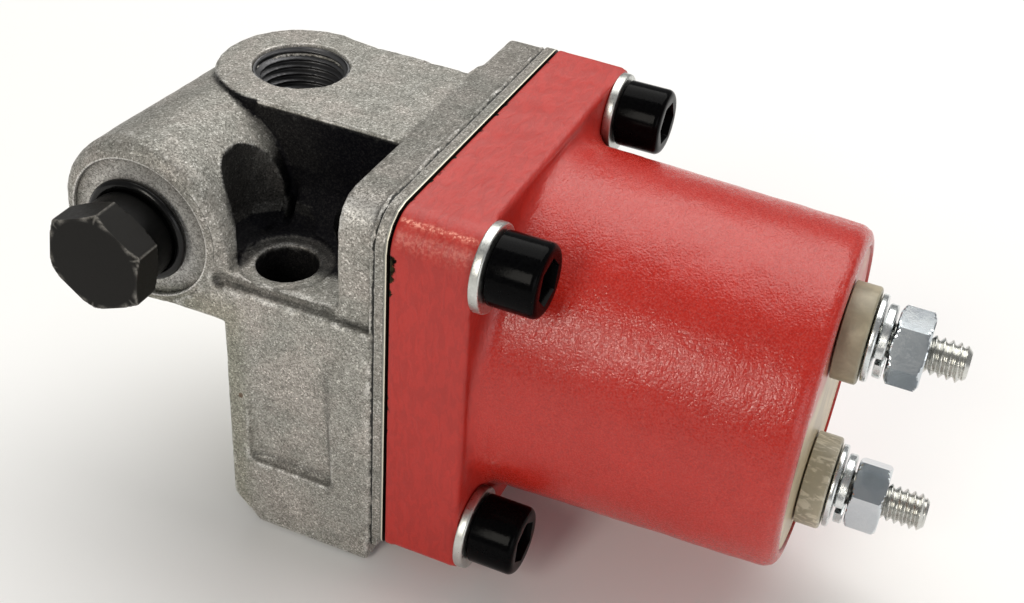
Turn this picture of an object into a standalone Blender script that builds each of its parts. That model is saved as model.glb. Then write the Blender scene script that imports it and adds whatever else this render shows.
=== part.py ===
"""Engine solenoid: a fuel shutoff valve body with its coil housing.

Metres, Z up. The origin is in the middle between the two mounting bolts, on the pump face.
The coil axis is level and runs along +X, towards the electrical studs.
Each length can be set by itself. What fits in or on another piece takes its size from the
same values and a clearance.
"""
import math

import bmesh
import bpy
from mathutils import Matrix, Vector

# Clearances
GAP = 0.0003                # between two faces that touch in the real product
BITE = 0.0005               # how far the lumps of one casting reach into each other
PAST = 0.003                # how far a cutter runs past the face that it opens

# Places shared by all pieces
SEAM_X = 0.0225             # seam of the coil housing, from the bolt line
AXIS_Z = 0.038              # coil axis above the pump face
SHIELD_T = 0.0005           # plate in the seam

# Radii of the coil and its pot, from the core outwards
CORE_R = 0.0110
COIL_SPACE = 0.0130         # room for the spool around the core
POT_WALL = 0.0051
POT_DRAFT = 0.0012          # gain of radius from the open end to the flange
POT_LEDGE = 0.0027          # from the pot to the side of the square flange

# Casting: rim and flange that carry the coil housing
FRONT_CORNER_R = 0.0060     # top corners of the square flanges
REAR_CORNER_R = 0.0018
RIM_T = 0.0022              # machined rim next to the seam
RIM_LIFT = 0.0037           # lower end of the rim above the pump face
CAST_FLANGE_T = 0.0064      # rough cast part of the flange behind the rim
CAST_STEP = 0.0015          # how far the rough front side stands back
CAST_TOP_STEP = 0.0003      # and the rough top and rear side
CAST_EDGE = 0.0005          # edge rounding of the casting

# Casting: block on the pump
BLOCK_LEFT = 0.0069         # left face from the bolt line
BLOCK_TOP = 0.049           # top of the wide block above the pump face
BLOCK_CORNER_R = 0.0010
BLOCK_CHAMFER = 0.0053      # at the lower left edge
SHELF_TOP = 0.0511          # floor under the bolt heads
PANEL_DEPTH = 0.0016        # sunk panel on the front, at its lower end
PANEL_LEFT = -0.0030
PANEL_RIGHT = 0.0124
PANEL_LOW = 0.0140
PANEL_HIGH = 0.0400

# Casting: arm with the inlet port
PORT_X = -0.0133
PORT_Y = 0.0035
ARM_R = 0.0145
ARM_LOW = 0.0413            # underside of the arm's free end
ARM_REAR_R = 0.0035         # where the arm meets the flange
ARM_FRONT_R = 0.0008
POCKET_FILLET_R = 0.0080    # between the arm and the shelf
PORT_MOUTH_R = 0.0083
PORT_BORE_R = 0.0072
PORT_TAPER = 0.0004         # loss of radius down the thread
PORT_THREAD_L = 0.0155
PORT_DRILL_R = 0.0050
PORT_FLOOR = 0.0480         # end of the vertical drilling above the pump face

# Casting: front boss with the cross drilling
BOSS_X = -0.0214
BOSS_Z = 0.0555
BOSS_R = 0.0151
BOSS_BACK_R = 0.0138
BOSS_BACK_Y = 0.0090
BOSS_RIM_R = 0.0030
BOSS_TAIL_R = 0.0060
SPOT_R = 0.0122             # machined ring on the boss
SPOT_DEPTH = 0.0008
CROSS_R = 0.0045
WEB_LOW = 0.0421            # underside of the web that joins boss and block
FOOT_X = -0.0084            # right side of the boss's foot at the boss face
FOOT_DROP = 0.0020          # top of that foot under the boss axis
SCALLOP_X = -0.0041         # round relief in the boss beside the front bolt
SCALLOP_Y = -0.0207
SCALLOP_R = 0.0079
SCALLOP_ROOT_R = 0.0030

# Mounting bolts
BOLT_Y = 0.0240
BOLT_HOLE_R = 0.0050
BOLT_HOLE_EDGE = 0.0004
BOLT_SPOT_R = 0.0078        # room for the bolt head, cut through fillet and boss
BOLT_SPOT_DEPTH = 0.0004

# Valve chamber
CHAMBER_STEP = 0.0020       # how much narrower than the coil bore
CHAMBER_DEPTH = 0.0080
SEAT_R = 0.0045             # bore in the seat
SEAT_WALL = 0.0025
SEAT_HEIGHT = 0.0035
SEAT_BORE_L = 0.0100
PASSAGE_R = 0.0040
INLET_X = 0.0121            # fuel bore to the pump, from the bolt line
INLET_R = 0.0045
INLET_SPOT_R = 0.0065
INLET_SPOT_DEPTH = 0.0020
STROKE = 0.0009
DISC_CLEAR = 0.0030         # fuel passes round the disc
DISC_T = 0.0035
DISC_BEVEL = 0.0005
SEAL_R = 0.0083
SEAL_T = 0.0021
SEAL_PROUD = 0.0006
SPRING_OUT = 0.0040         # middle of the wave spring outside the core
SPRING_W = 0.0026
SPRING_T = 0.0004
SPRING_WAVES = 4
SPRING_SEAT_DEPTH = 0.0012  # ring groove in the disc

# Seal between casting and housing
ORING_OUT = 0.0030          # middle of the ring outside the coil bore
ORING_TUBE_R = 0.0011
ORING_GROOVE_DEPTH = 0.0012

# Coil housing
HOUSING_FLANGE_T = 0.0132
HOUSING_LOW_R = 0.0018      # lower corners of the square flange
HOUSING_EDGE = 0.0012
POT_L = 0.0635              # from the seam face to the end of the pot
POT_ROOT_R = 0.0032
POT_RIM_R = 0.0018
POT_LIP = 0.0030            # wall at the open end
SCREW_SPOT_DEPTH = 0.0002   # machined seats of the flange washers
RECESS_DEPTH = 0.0106
BULKHEAD_T = 0.0040

# Coil and core
CORE_SHOULDER = 0.0040      # step down to the spigot in the bulkhead
SPOOL_WALL = 0.0015
SPOOL_FLANGE_T = 0.0018
SPOOL_CLEAR = 0.0006
SPOOL_FRONT = 0.0035        # from the seam face of the housing
SPOOL_BACK = 0.0020         # free length behind the spool
WINDING_DEPTH = 0.0090
LEAD_R = 0.0009
LEAD_CLEAR = 0.0005

# Flange screws and washers
SCREW_IN_Y = 0.0057         # screw axis from the side of the flange
SCREW_IN_Z = 0.0064         # and from its top and bottom
SCREW_R = 0.0034            # middle of the thread
SCREW_HEAD_R = 0.00595
SCREW_HEAD_H = 0.00794
SCREW_UNDER_L = 0.0261      # from under the head to the tip
SCREW_SOCKET_AF = 0.00635
SCREW_SOCKET_DEPTH = 0.0040
SCREW_HEAD_EDGE = 0.0007
SCREW_SEAT_DEPTH = 0.0160   # blind holes of the lower screws in the block
WASHER_R = 0.0071
WASHER_BORE_R = 0.0042
WASHER_DROP = 0.0004        # how far the loose washers hang down
WASHER_T = 0.0016

# Side port plug
PLUG_AF = 0.0157
PLUG_HEX_T = 0.0053
PLUG_HEX_TURN = -7.7        # degrees, from a corner straight up
PLUG_STAND = 0.0060         # back of the hexagon before the boss face
PLUG_NECK_R = 0.0075
PLUG_GROOVE_R = 0.0070
PLUG_GROOVE_L = 0.0021
PLUG_THREAD_R = 0.0078
PLUG_L = 0.0145             # from the boss face to the inner end
PLUG_END_CLEAR = 0.0015     # free length of its threaded hole
PLUG_BEVEL = 0.0009
PLUG_RING_R = 0.0009        # tube radius of the rubber ring

# Terminals
TERMINAL_Y = -0.0010
TERMINAL_IN_UPPER = 0.0031  # from the bush to the wall of the recess
TERMINAL_IN_LOWER = 0.0017
STUD_R = 0.003175
STUD_TIP_UPPER = 0.0155     # beyond the insulator face
STUD_TIP_LOWER = 0.0162
STUD_HEAD_R = 0.0050
STUD_HEAD_T = 0.0024
STUD_BEVEL = 0.0008
INSULATOR_R = 0.0080
INSULATOR_T = 0.0042
RESIN_SUNK = 0.0004         # resin face below the rim of the pot
INSULATOR_EDGE = 0.0004
FLAT_R = 0.00715
FLAT_T = 0.0010
LOCK_R = 0.0060
LOCK_T = 0.0014
LOCK_GAP = 0.0012
LOCK_RISE = 0.0003
NUT_AF = 0.01111
NUT_T = 0.0055
NUT_TURN_UPPER = 30.0       # degrees, from a corner straight up
NUT_TURN_LOWER = 2.0

# Facets
POT_STEPS = 48              # around the pot
ROUND = 32                  # around the other large round pieces
SMALL = 18                  # around studs, screws and bores
CORNER = 4                  # in a rounded corner
ROLL = 3.1                  # degrees that the cutting tools are rolled by

# Sizes that follow from the values above
COIL_BORE_R = CORE_R + COIL_SPACE
POT_TIP_R = COIL_BORE_R + POT_WALL
POT_R = POT_TIP_R + POT_DRAFT
RECESS_R = POT_TIP_R - POT_LIP
FLANGE_HALF = POT_R + POT_LEDGE
BLOCK_HALF_Y = FLANGE_HALF
BOSS_FACE_Y = -BLOCK_HALF_Y
PLUG_END = BOSS_FACE_Y + PLUG_L
PLUG_HOLE_END = PLUG_END + PLUG_END_CLEAR
CROSS_END = PORT_Y
CORE_SPIGOT_R = CORE_R - CORE_SHOULDER
SPRING_R = CORE_R + SPRING_OUT
CHAMBER_R = COIL_BORE_R - CHAMBER_STEP
DISC_R = CHAMBER_R - DISC_CLEAR
ORING_R = COIL_BORE_R + ORING_OUT
SCREW_Y = FLANGE_HALF - SCREW_IN_Y
SCREW_Z = FLANGE_HALF - SCREW_IN_Z
TERMINAL_UP = RECESS_R - INSULATOR_R - TERMINAL_IN_UPPER
TERMINAL_DOWN = RECESS_R - INSULATOR_R - TERMINAL_IN_LOWER

# Faces that follow from them, along the coil axis
BODY_FACE = SEAM_X - SHIELD_T - GAP
HOUSING_FACE = SEAM_X + GAP
HOUSING_BACK = HOUSING_FACE + HOUSING_FLANGE_T
POT_END = HOUSING_FACE + POT_L
RECESS_FLOOR = POT_END - RECESS_DEPTH
BULKHEAD = RECESS_FLOOR - BULKHEAD_T
BODY_TOP = AXIS_Z + FLANGE_HALF - CAST_TOP_STEP
CHAMBER_FLOOR = BODY_FACE - CHAMBER_DEPTH
SEAT_FACE = CHAMBER_FLOOR + SEAT_HEIGHT
SEAL_FACE = SEAT_FACE + GAP
DISC_BACK = SEAL_FACE + SEAL_PROUD
DISC_FRONT = DISC_BACK + DISC_T
RESIN_FACE = POT_END - RESIN_SUNK
INSULATOR_FACE = RESIN_FACE + GAP + INSULATOR_T
SCREW_SEAT = HOUSING_BACK - SCREW_SPOT_DEPTH
SCREW_HEAD_FACE = SCREW_SEAT + WASHER_T + 2.0 * GAP


def clear_scene():
    """Take out what the new file starts with."""
    for ob in list(bpy.data.objects):
        bpy.data.objects.remove(ob, do_unlink=True)


def collections():
    """One collection for the solenoid and one for the tools that cut it."""
    parts = bpy.data.collections.new("engine_solenoid")
    tools = bpy.data.collections.new("cutting_tools")
    bpy.context.scene.collection.children.link(parts)
    bpy.context.scene.collection.children.link(tools)
    tools.hide_render = True
    return parts, tools


def material(name, color, metallic, roughness):
    """A plain Principled material."""
    mat = bpy.data.materials.new(name)
    mat.use_nodes = True
    shader = mat.node_tree.nodes["Principled BSDF"]
    shader.inputs["Base Color"].default_value = (color[0], color[1], color[2], 1.0)
    shader.inputs["Metallic"].default_value = metallic
    shader.inputs["Roughness"].default_value = roughness
    mat.diffuse_color = (color[0], color[1], color[2], 1.0)
    return mat


def new_object(name, mesh, matrix=None):
    """An object in the collection of the parts."""
    ob = bpy.data.objects.new(name, mesh)
    PARTS.objects.link(ob)
    if matrix is not None:
        ob.matrix_world = matrix
    return ob


def as_tool(ob):
    """Move an object to the tools and show it as a wire."""
    PARTS.objects.unlink(ob)
    TOOLS.objects.link(ob)
    ob.hide_render = True
    ob.display_type = "WIRE"
    return ob


def to_mesh(ob):
    """Turn a curve object into a mesh object at the same place."""
    bpy.context.view_layer.update()
    graph = bpy.context.evaluated_depsgraph_get()
    mesh = bpy.data.meshes.new_from_object(ob.evaluated_get(graph))
    bm = bmesh.new()
    bm.from_mesh(mesh)
    bmesh.ops.remove_doubles(bm, verts=bm.verts, dist=0.000001)
    bmesh.ops.dissolve_limit(bm, angle_limit=0.01, verts=bm.verts, edges=bm.edges)
    bmesh.ops.recalc_face_normals(bm, faces=bm.faces)
    bm.to_mesh(mesh)
    bm.free()
    solid = new_object(ob.name + "_solid", mesh, ob.matrix_world.copy())
    name = ob.name
    bpy.data.objects.remove(ob, do_unlink=True)
    solid.name = name
    return solid


def rounded(corners, segments=CORNER):
    """Outline with an arc of its own radius at each corner, given as (u, v, radius)."""
    points = []
    count = len(corners)
    for i in range(count):
        here = Vector(corners[i][:2])
        radius = corners[i][2]
        if radius <= 0.0:
            points.append(here)
            continue
        before = (Vector(corners[i - 1][:2]) - here).normalized()
        after = (Vector(corners[(i + 1) % count][:2]) - here).normalized()
        half = before.angle(after) / 2.0
        reach = radius / math.tan(half)
        centre = here + (before + after).normalized() * (radius / math.sin(half))
        start = here + before * reach - centre
        end = here + after * reach - centre
        sweep = start.angle_signed(end)
        for k in range(segments + 1):
            arm = start.copy()
            arm.rotate(Matrix.Rotation(-sweep * k / segments, 2))
            points.append(centre + arm)
    return [p for i, p in enumerate(points) if (p - points[i - 1]).length > 0.000002]


def axes_matrix(axis, place):
    """Placement whose local Z runs along the named axis.

    Along X an outline is given as (y, z), along Y as (x, z) and along Z as (x, y).
    """
    if axis == "X":
        turn = Matrix(((0, 0, 1), (1, 0, 0), (0, 1, 0))).to_4x4()
    elif axis == "Y":
        turn = Matrix(((1, 0, 0), (0, 0, -1), (0, 1, 0))).to_4x4()
    else:
        turn = Matrix.Identity(4)
    return Matrix.Translation(place) @ turn


def slab(name, outline, axis, low, high):
    """A flat outline as a filled curve, as thick as from low to high along the axis."""
    curve = bpy.data.curves.new(name, "CURVE")
    curve.dimensions = "2D"
    curve.fill_mode = "BOTH"
    curve.extrude = (high - low) / 2.0
    spline = curve.splines.new("POLY")
    spline.points.add(len(outline) - 1)
    for point, (u, v) in zip(spline.points, outline):
        point.co = (u, v, 0.0, 1.0)
    spline.use_cyclic_u = True
    middle = (low + high) / 2.0
    place = {"X": (middle, 0, 0), "Y": (0, middle, 0), "Z": (0, 0, middle)}[axis]
    ob = new_object(name, curve, axes_matrix(axis, place))
    return to_mesh(ob)


def turned(name, profile, axis, place, steps=ROUND, closed=False, roll=0.0):
    """A turned piece. The profile is (radius, height along the axis), from its high end.

    It runs down the outer side. A ring's profile goes on up its inner side and is closed.
    A cutting tool is rolled a little, so that none of its corners lies on those of the work.
    """
    mesh = bpy.data.meshes.new(name)
    verts = [(r, 0.0, h) for r, h in profile]
    edges = [(i, i + 1) for i in range(len(verts) - 1)]
    if closed:
        edges.append((len(verts) - 1, 0))
    mesh.from_pydata(verts, edges, [])
    if axis == "X":
        turn = Matrix.Rotation(math.radians(90.0), 4, "Y")
    elif axis == "Y":
        turn = Matrix.Rotation(math.radians(-90.0), 4, "X")
    else:
        turn = Matrix.Identity(4)
    spin = Matrix.Rotation(math.radians(roll), 4, "Z")
    ob = new_object(name, mesh, Matrix.Translation(place) @ turn @ spin)
    screw = ob.modifiers.new("turn", "SCREW")
    screw.axis = "Z"
    screw.steps = steps
    screw.render_steps = steps
    screw.use_merge_vertices = True
    screw.merge_threshold = 0.000001
    screw.use_smooth_shade = True
    return ob


def rod(name, radius, start, end, steps=SMALL):
    """A plain cylinder from one point to another."""
    start = Vector(start)
    end = Vector(end)
    run = end - start
    bpy.ops.mesh.primitive_cylinder_add(vertices=steps, radius=radius, depth=run.length)
    ob = bpy.context.object
    for owner in list(ob.users_collection):
        owner.objects.unlink(ob)
    PARTS.objects.link(ob)
    ob.name = name
    turn = run.to_track_quat("Z", "Y").to_matrix().to_4x4()
    spin = Matrix.Rotation(math.radians(ROLL), 4, "Z")
    ob.matrix_world = Matrix.Translation((start + end) / 2.0) @ turn @ spin
    return ob


def hexagon(flats, turn):
    """Corners of a hexagon, the first one turned from straight up, in degrees."""
    radius = flats / math.sqrt(3.0)
    points = []
    for k in range(6):
        angle = math.radians(90.0 - turn - 60.0 * k)
        points.append((radius * math.cos(angle), radius * math.sin(angle)))
    return points


def moved(points, du, dv):
    """The same outline at another place."""
    return [(u + du, v + dv) for u, v in points]


def bevel(ob, width, segments=1, angle=40.0):
    """Round the sharp edges of a piece."""
    mod = ob.modifiers.new("edge", "BEVEL")
    mod.width = width
    mod.segments = segments
    mod.limit_method = "ANGLE"
    mod.angle_limit = math.radians(angle)
    mod.use_clamp_overlap = True
    return mod


def combine(ob, other, operation):
    """Add another solid to a piece or cut it away."""
    mod = ob.modifiers.new(operation.lower() + "_" + other.name, "BOOLEAN")
    mod.operation = operation
    mod.solver = "EXACT"
    mod.object = other
    as_tool(other)
    return mod


def finish(ob, mat):
    """Give a piece its material."""
    ob.data.materials.clear()
    ob.data.materials.append(mat)
    return ob


def arc(centre, radius, start, end, segments):
    """Points on an arc, with angles in degrees."""
    points = []
    for k in range(segments + 1):
        angle = math.radians(start + (end - start) * k / segments)
        points.append((centre[0] + radius * math.cos(angle), centre[1] + radius * math.sin(angle)))
    return points


def square_outline(front, rear, top, bottom, low_r, less=0.0):
    """Outline of a square flange across the coil axis, as (y, z).

    The top corners are round, the front one more than the rear one, each less a step.
    """
    return rounded([
        (-front, bottom, low_r),
        (rear, bottom, low_r),
        (rear, top, max(REAR_CORNER_R - less, less)),
        (-front, top, FRONT_CORNER_R - less),
    ])


def build_valve_body():
    """The iron casting: lumps that run into each other, then all machined faces and bores."""
    half = BLOCK_HALF_Y
    block = slab("valve_body", rounded([
        (-BLOCK_LEFT, -half, BLOCK_CORNER_R),
        (BODY_FACE - RIM_T + GAP / 3.0, -half, 0.0),
        (BODY_FACE - RIM_T + GAP / 3.0, half, 0.0),
        (-BLOCK_LEFT, half, BLOCK_CORNER_R),
    ]), "Z", 0.0, BLOCK_TOP)
    bevel(block, CAST_EDGE * 0.6, 1)

    step = CAST_STEP
    shelf = slab("shelf", rounded([
        (-BLOCK_LEFT + step / 3.0, -half + step, BLOCK_CORNER_R - step / 2.0),
        (BODY_FACE - RIM_T - BITE, -half + step, 0.0),
        (BODY_FACE - RIM_T - BITE, half - step, 0.0),
        (-BLOCK_LEFT + step / 3.0, half - step, BLOCK_CORNER_R - step / 2.0),
    ]), "Z", BLOCK_TOP - 4.0 * step, SHELF_TOP)
    bevel(shelf, CAST_EDGE * 0.6, 1)
    combine(block, shelf, "UNION")

    rim = slab("rim", square_outline(
        FLANGE_HALF, FLANGE_HALF, AXIS_Z + FLANGE_HALF, RIM_LIFT, 0.0004,
    ), "X", BODY_FACE - RIM_T, BODY_FACE)
    combine(block, rim, "UNION")

    flange = slab("flange", square_outline(
        FLANGE_HALF - step, FLANGE_HALF - CAST_TOP_STEP, BODY_TOP, BLOCK_TOP - 6.0 * step,
        0.0, CAST_TOP_STEP,
    ), "X", BODY_FACE - RIM_T - CAST_FLANGE_T, BODY_FACE - RIM_T + BITE)
    bevel(flange, CAST_EDGE, 1)
    combine(block, flange, "UNION")

    flange_left = BODY_FACE - RIM_T - CAST_FLANGE_T
    near = flange_left + BITE / 5.0
    deep = flange_left + CAST_FLANGE_T / 2.0
    front_reach = ARM_FRONT_R * 1.6
    rear_reach = ARM_REAR_R * 1.6
    arm = slab("arm", rounded([
        (PORT_X - ARM_R, PORT_Y - ARM_R, ARM_R),
        (near, PORT_Y - ARM_R, ARM_FRONT_R),
        (near, PORT_Y - ARM_R - front_reach, 0.0),
        (deep, PORT_Y - ARM_R - front_reach, 0.0),
        (deep, PORT_Y + ARM_R + rear_reach, 0.0),
        (near, PORT_Y + ARM_R + rear_reach, 0.0),
        (near, PORT_Y + ARM_R, ARM_REAR_R),
        (PORT_X - ARM_R, PORT_Y + ARM_R, ARM_R),
    ], 7), "Z", ARM_LOW, BODY_TOP - CAST_TOP_STEP / 3.0)
    bevel(arm, CAST_EDGE, 1)
    combine(block, arm, "UNION")

    fillet = POCKET_FILLET_R
    for name, wall, side in (
        ("pocket_fillet_front", PORT_Y - ARM_R, -1.0),
        ("pocket_fillet_back", PORT_Y + ARM_R, 1.0),
    ):
        foot = wall + side * fillet
        head = SHELF_TOP + fillet
        curve = arc((foot, head), fillet, 0.0, -90.0, 6)
        if side > 0.0:
            curve = arc((foot, head), fillet, 180.0, 270.0, 6)
        outline = [(wall - side * BITE, SHELF_TOP - BITE), (wall - side * BITE, head)]
        outline += curve
        outline.append((foot, SHELF_TOP - BITE))
        lump = slab(name, outline, "X", -BLOCK_LEFT + step, flange_left + BITE)
        combine(block, lump, "UNION")

    boss_l = BOSS_BACK_Y - BOSS_FACE_Y
    rim_r = BOSS_RIM_R
    tail_r = BOSS_TAIL_R
    face_r = BOSS_R
    profile = [(0.0, boss_l)]
    profile += arc((BOSS_BACK_R - tail_r, boss_l - tail_r), tail_r, 90.0, 0.0, 4)
    profile += arc((face_r - rim_r, rim_r), rim_r, 0.0, -90.0, 3)
    profile.append((0.0, 0.0))
    boss = turned("boss", profile, "Y", (BOSS_X, BOSS_FACE_Y, BOSS_Z), 36)
    combine(block, boss, "UNION")

    web = slab("web", [
        (BOSS_X, WEB_LOW),
        (-BLOCK_LEFT + 2.0 * BITE, WEB_LOW),
        (-BLOCK_LEFT + 2.0 * BITE, BLOCK_TOP - BITE),
        (FOOT_X, BLOCK_TOP - BITE),
        (FOOT_X, BOSS_Z - FOOT_DROP),
        (BOSS_X, BOSS_Z - FOOT_DROP),
    ], "Y", BOSS_FACE_Y + BITE / 5.0, PORT_Y - ARM_R + BITE * 4.0)
    bevel(web, CAST_EDGE * 0.8, 1)
    combine(block, web, "UNION")

    skirt_x = -BLOCK_LEFT + BITE
    skirt = slab("boss_skirt", [
        (BOSS_X, WEB_LOW + step),
        (skirt_x, WEB_LOW + step),
        (skirt_x, BOSS_Z - BITE),
        (BOSS_X, BOSS_Z - BITE),
    ], "Y", BOSS_FACE_Y + step + BITE / 3.0, PORT_Y - ARM_R + BITE * 3.0)
    combine(block, skirt, "UNION")

    cut_valve_body(block)
    return block


def cut_valve_body(block):
    """Machined faces, bores and the sunk panel of the casting."""
    half = BLOCK_HALF_Y
    low = -BLOCK_LEFT - PAST
    chamfer = slab("chamfer_tool", [
        (low, -PAST), (-BLOCK_LEFT + BLOCK_CHAMFER + PAST, -PAST), (low, BLOCK_CHAMFER + PAST),
    ], "Y", -half - PAST, half + PAST)
    combine(block, chamfer, "DIFFERENCE")

    panel = slab("panel_tool", [
        (-half - 4.0 * PAST, PANEL_HIGH + PANEL_DEPTH),
        (-half - PANEL_DEPTH / 4.0, PANEL_HIGH + PANEL_DEPTH),
        (-half + PANEL_DEPTH, PANEL_LOW),
        (-half - 4.0 * PAST, PANEL_LOW - PANEL_DEPTH),
    ], "X", PANEL_LEFT, PANEL_RIGHT)
    bevel(panel, PANEL_DEPTH * 0.6, 2)
    combine(block, panel, "DIFFERENCE")

    top = AXIS_Z + FLANGE_HALF + PAST
    root = SCALLOP_ROOT_R
    profile = [(0.0, top), (SCALLOP_R, top)]
    profile += arc((SCALLOP_R - root, SHELF_TOP + root), root, 0.0, -90.0, 3)
    profile.append((0.0, SHELF_TOP))
    scallop = turned("scallop_tool", profile, "Z", (SCALLOP_X, SCALLOP_Y, 0.0), 24, False, ROLL)
    combine(block, scallop, "DIFFERENCE")

    for name, y in (("bolt_tool_front", -BOLT_Y), ("bolt_tool_back", BOLT_Y)):
        floor = SHELF_TOP - BOLT_SPOT_DEPTH
        tool = turned(name, [
            (0.0, top), (BOLT_SPOT_R, top), (BOLT_SPOT_R, floor),
            (BOLT_HOLE_R + BOLT_HOLE_EDGE, floor), (BOLT_HOLE_R, floor - BOLT_HOLE_EDGE),
            (BOLT_HOLE_R, -PAST), (0.0, -PAST),
        ], "Z", (0.0, y, 0.0), 20, False, ROLL)
        combine(block, tool, "DIFFERENCE")

    thread_end = BODY_TOP - PORT_THREAD_L
    small_r = PORT_BORE_R - PORT_TAPER
    tip = PORT_FLOOR - PORT_DRILL_R * 0.5
    port = turned("port_tool", [
        (0.0, BODY_TOP + PAST),
        (PORT_MOUTH_R, BODY_TOP + PAST),
        (PORT_MOUTH_R, BODY_TOP - (PORT_MOUTH_R - PORT_BORE_R)),
        (PORT_BORE_R, BODY_TOP - 2.0 * (PORT_MOUTH_R - PORT_BORE_R)),
        (small_r, thread_end),
        (PORT_DRILL_R, thread_end - (small_r - PORT_DRILL_R) * 0.6),
        (PORT_DRILL_R, PORT_FLOOR),
        (0.0, tip),
    ], "Z", (PORT_X, PORT_Y, 0.0), 26, False, ROLL)
    combine(block, port, "DIFFERENCE")

    hole_r = PLUG_THREAD_R + GAP
    ring_r = PLUG_GROOVE_R + GAP + 2.0 * PLUG_RING_R + GAP
    spot_y = BOSS_FACE_Y + SPOT_DEPTH
    plug = turned("plug_hole_tool", [
        (0.0, CROSS_END + CROSS_R * 0.5),
        (CROSS_R, CROSS_END),
        (CROSS_R, PLUG_HOLE_END),
        (hole_r, PLUG_HOLE_END - (hole_r - CROSS_R) * 0.5),
        (hole_r, spot_y + (ring_r - hole_r)),
        (ring_r, spot_y),
        (SPOT_R, spot_y),
        (SPOT_R, BOSS_FACE_Y - PAST),
        (0.0, BOSS_FACE_Y - PAST),
    ], "Y", (BOSS_X, 0.0, BOSS_Z), 28, False, ROLL)
    combine(block, plug, "DIFFERENCE")

    seat_out = SEAT_R + SEAT_WALL
    chamber = turned("chamber_tool", [
        (0.0, BODY_FACE + PAST),
        (CHAMBER_R, BODY_FACE + PAST),
        (CHAMBER_R, CHAMBER_FLOOR),
        (seat_out + SEAT_WALL * 0.4, CHAMBER_FLOOR),
        (seat_out, SEAT_FACE),
        (SEAT_R, SEAT_FACE),
        (SEAT_R, SEAT_FACE - SEAT_BORE_L),
        (0.0, SEAT_FACE - SEAT_BORE_L - SEAT_R * 0.5),
    ], "X", (0.0, 0.0, AXIS_Z), ROUND, False, ROLL)
    combine(block, chamber, "DIFFERENCE")

    passage = rod(
        "passage_tool", PASSAGE_R,
        (SEAT_FACE - SEAT_HEIGHT - SEAT_R * 0.6, 0.0, AXIS_Z),
        (PORT_X, PORT_Y, PORT_FLOOR + PASSAGE_R),
    )
    combine(block, passage, "DIFFERENCE")

    top = AXIS_Z - CHAMBER_R * 0.7
    inlet = turned("inlet_tool", [
        (0.0, top), (INLET_R, top), (INLET_R, INLET_SPOT_DEPTH),
        (INLET_SPOT_R, INLET_SPOT_DEPTH), (INLET_SPOT_R, -PAST), (0.0, -PAST),
    ], "Z", (INLET_X, 0.0, 0.0), SMALL, False, ROLL)
    combine(block, inlet, "DIFFERENCE")

    tube = ORING_TUBE_R + GAP
    groove = turned("groove_tool", [
        (ORING_R + tube, BODY_FACE + PAST),
        (ORING_R + tube, BODY_FACE - ORING_GROOVE_DEPTH),
        (ORING_R - tube, BODY_FACE - ORING_GROOVE_DEPTH),
        (ORING_R - tube, BODY_FACE + PAST),
    ], "X", (0.0, 0.0, AXIS_Z), ROUND, True, ROLL)
    combine(block, groove, "DIFFERENCE")

    flange_left = BODY_FACE - RIM_T - CAST_FLANGE_T
    for index, (y, z) in enumerate(screw_places()):
        deep = flange_left - PAST
        if z < AXIS_Z:
            deep = BODY_FACE - SCREW_SEAT_DEPTH
        tool = rod(
            "tapping_tool_%d" % (index + 1), SCREW_R + GAP, (deep, y, z), (BODY_FACE + PAST, y, z), 20,
        )
        combine(block, tool, "DIFFERENCE")


def screw_places():
    """Places of the four flange screws, as (y, z)."""
    return [
        (-SCREW_Y, AXIS_Z + SCREW_Z),
        (SCREW_Y, AXIS_Z + SCREW_Z),
        (SCREW_Y, AXIS_Z - SCREW_Z),
        (-SCREW_Y, AXIS_Z - SCREW_Z),
    ]


def build_shield():
    """Thin square plate in the seam, open where the sealing ring sits."""
    plate = slab("fuel_shield", square_outline(
        FLANGE_HALF, FLANGE_HALF, AXIS_Z + FLANGE_HALF, AXIS_Z - FLANGE_HALF, HOUSING_LOW_R,
    ), "X", SEAM_X - SHIELD_T, SEAM_X)
    open_r = ORING_R + ORING_TUBE_R + GAP * 4.0
    hole = rod(
        "shield_hole_tool", open_r,
        (SEAM_X - SHIELD_T - PAST, 0.0, AXIS_Z), (SEAM_X + PAST, 0.0, AXIS_Z), ROUND,
    )
    combine(plate, hole, "DIFFERENCE")
    for index, (y, z) in enumerate(screw_places()):
        tool = rod(
            "shield_screw_tool_%d" % (index + 1), SCREW_R + GAP,
            (SEAM_X - SHIELD_T - PAST, y, z), (SEAM_X + PAST, y, z), 20,
        )
        combine(plate, tool, "DIFFERENCE")
    return plate


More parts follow.
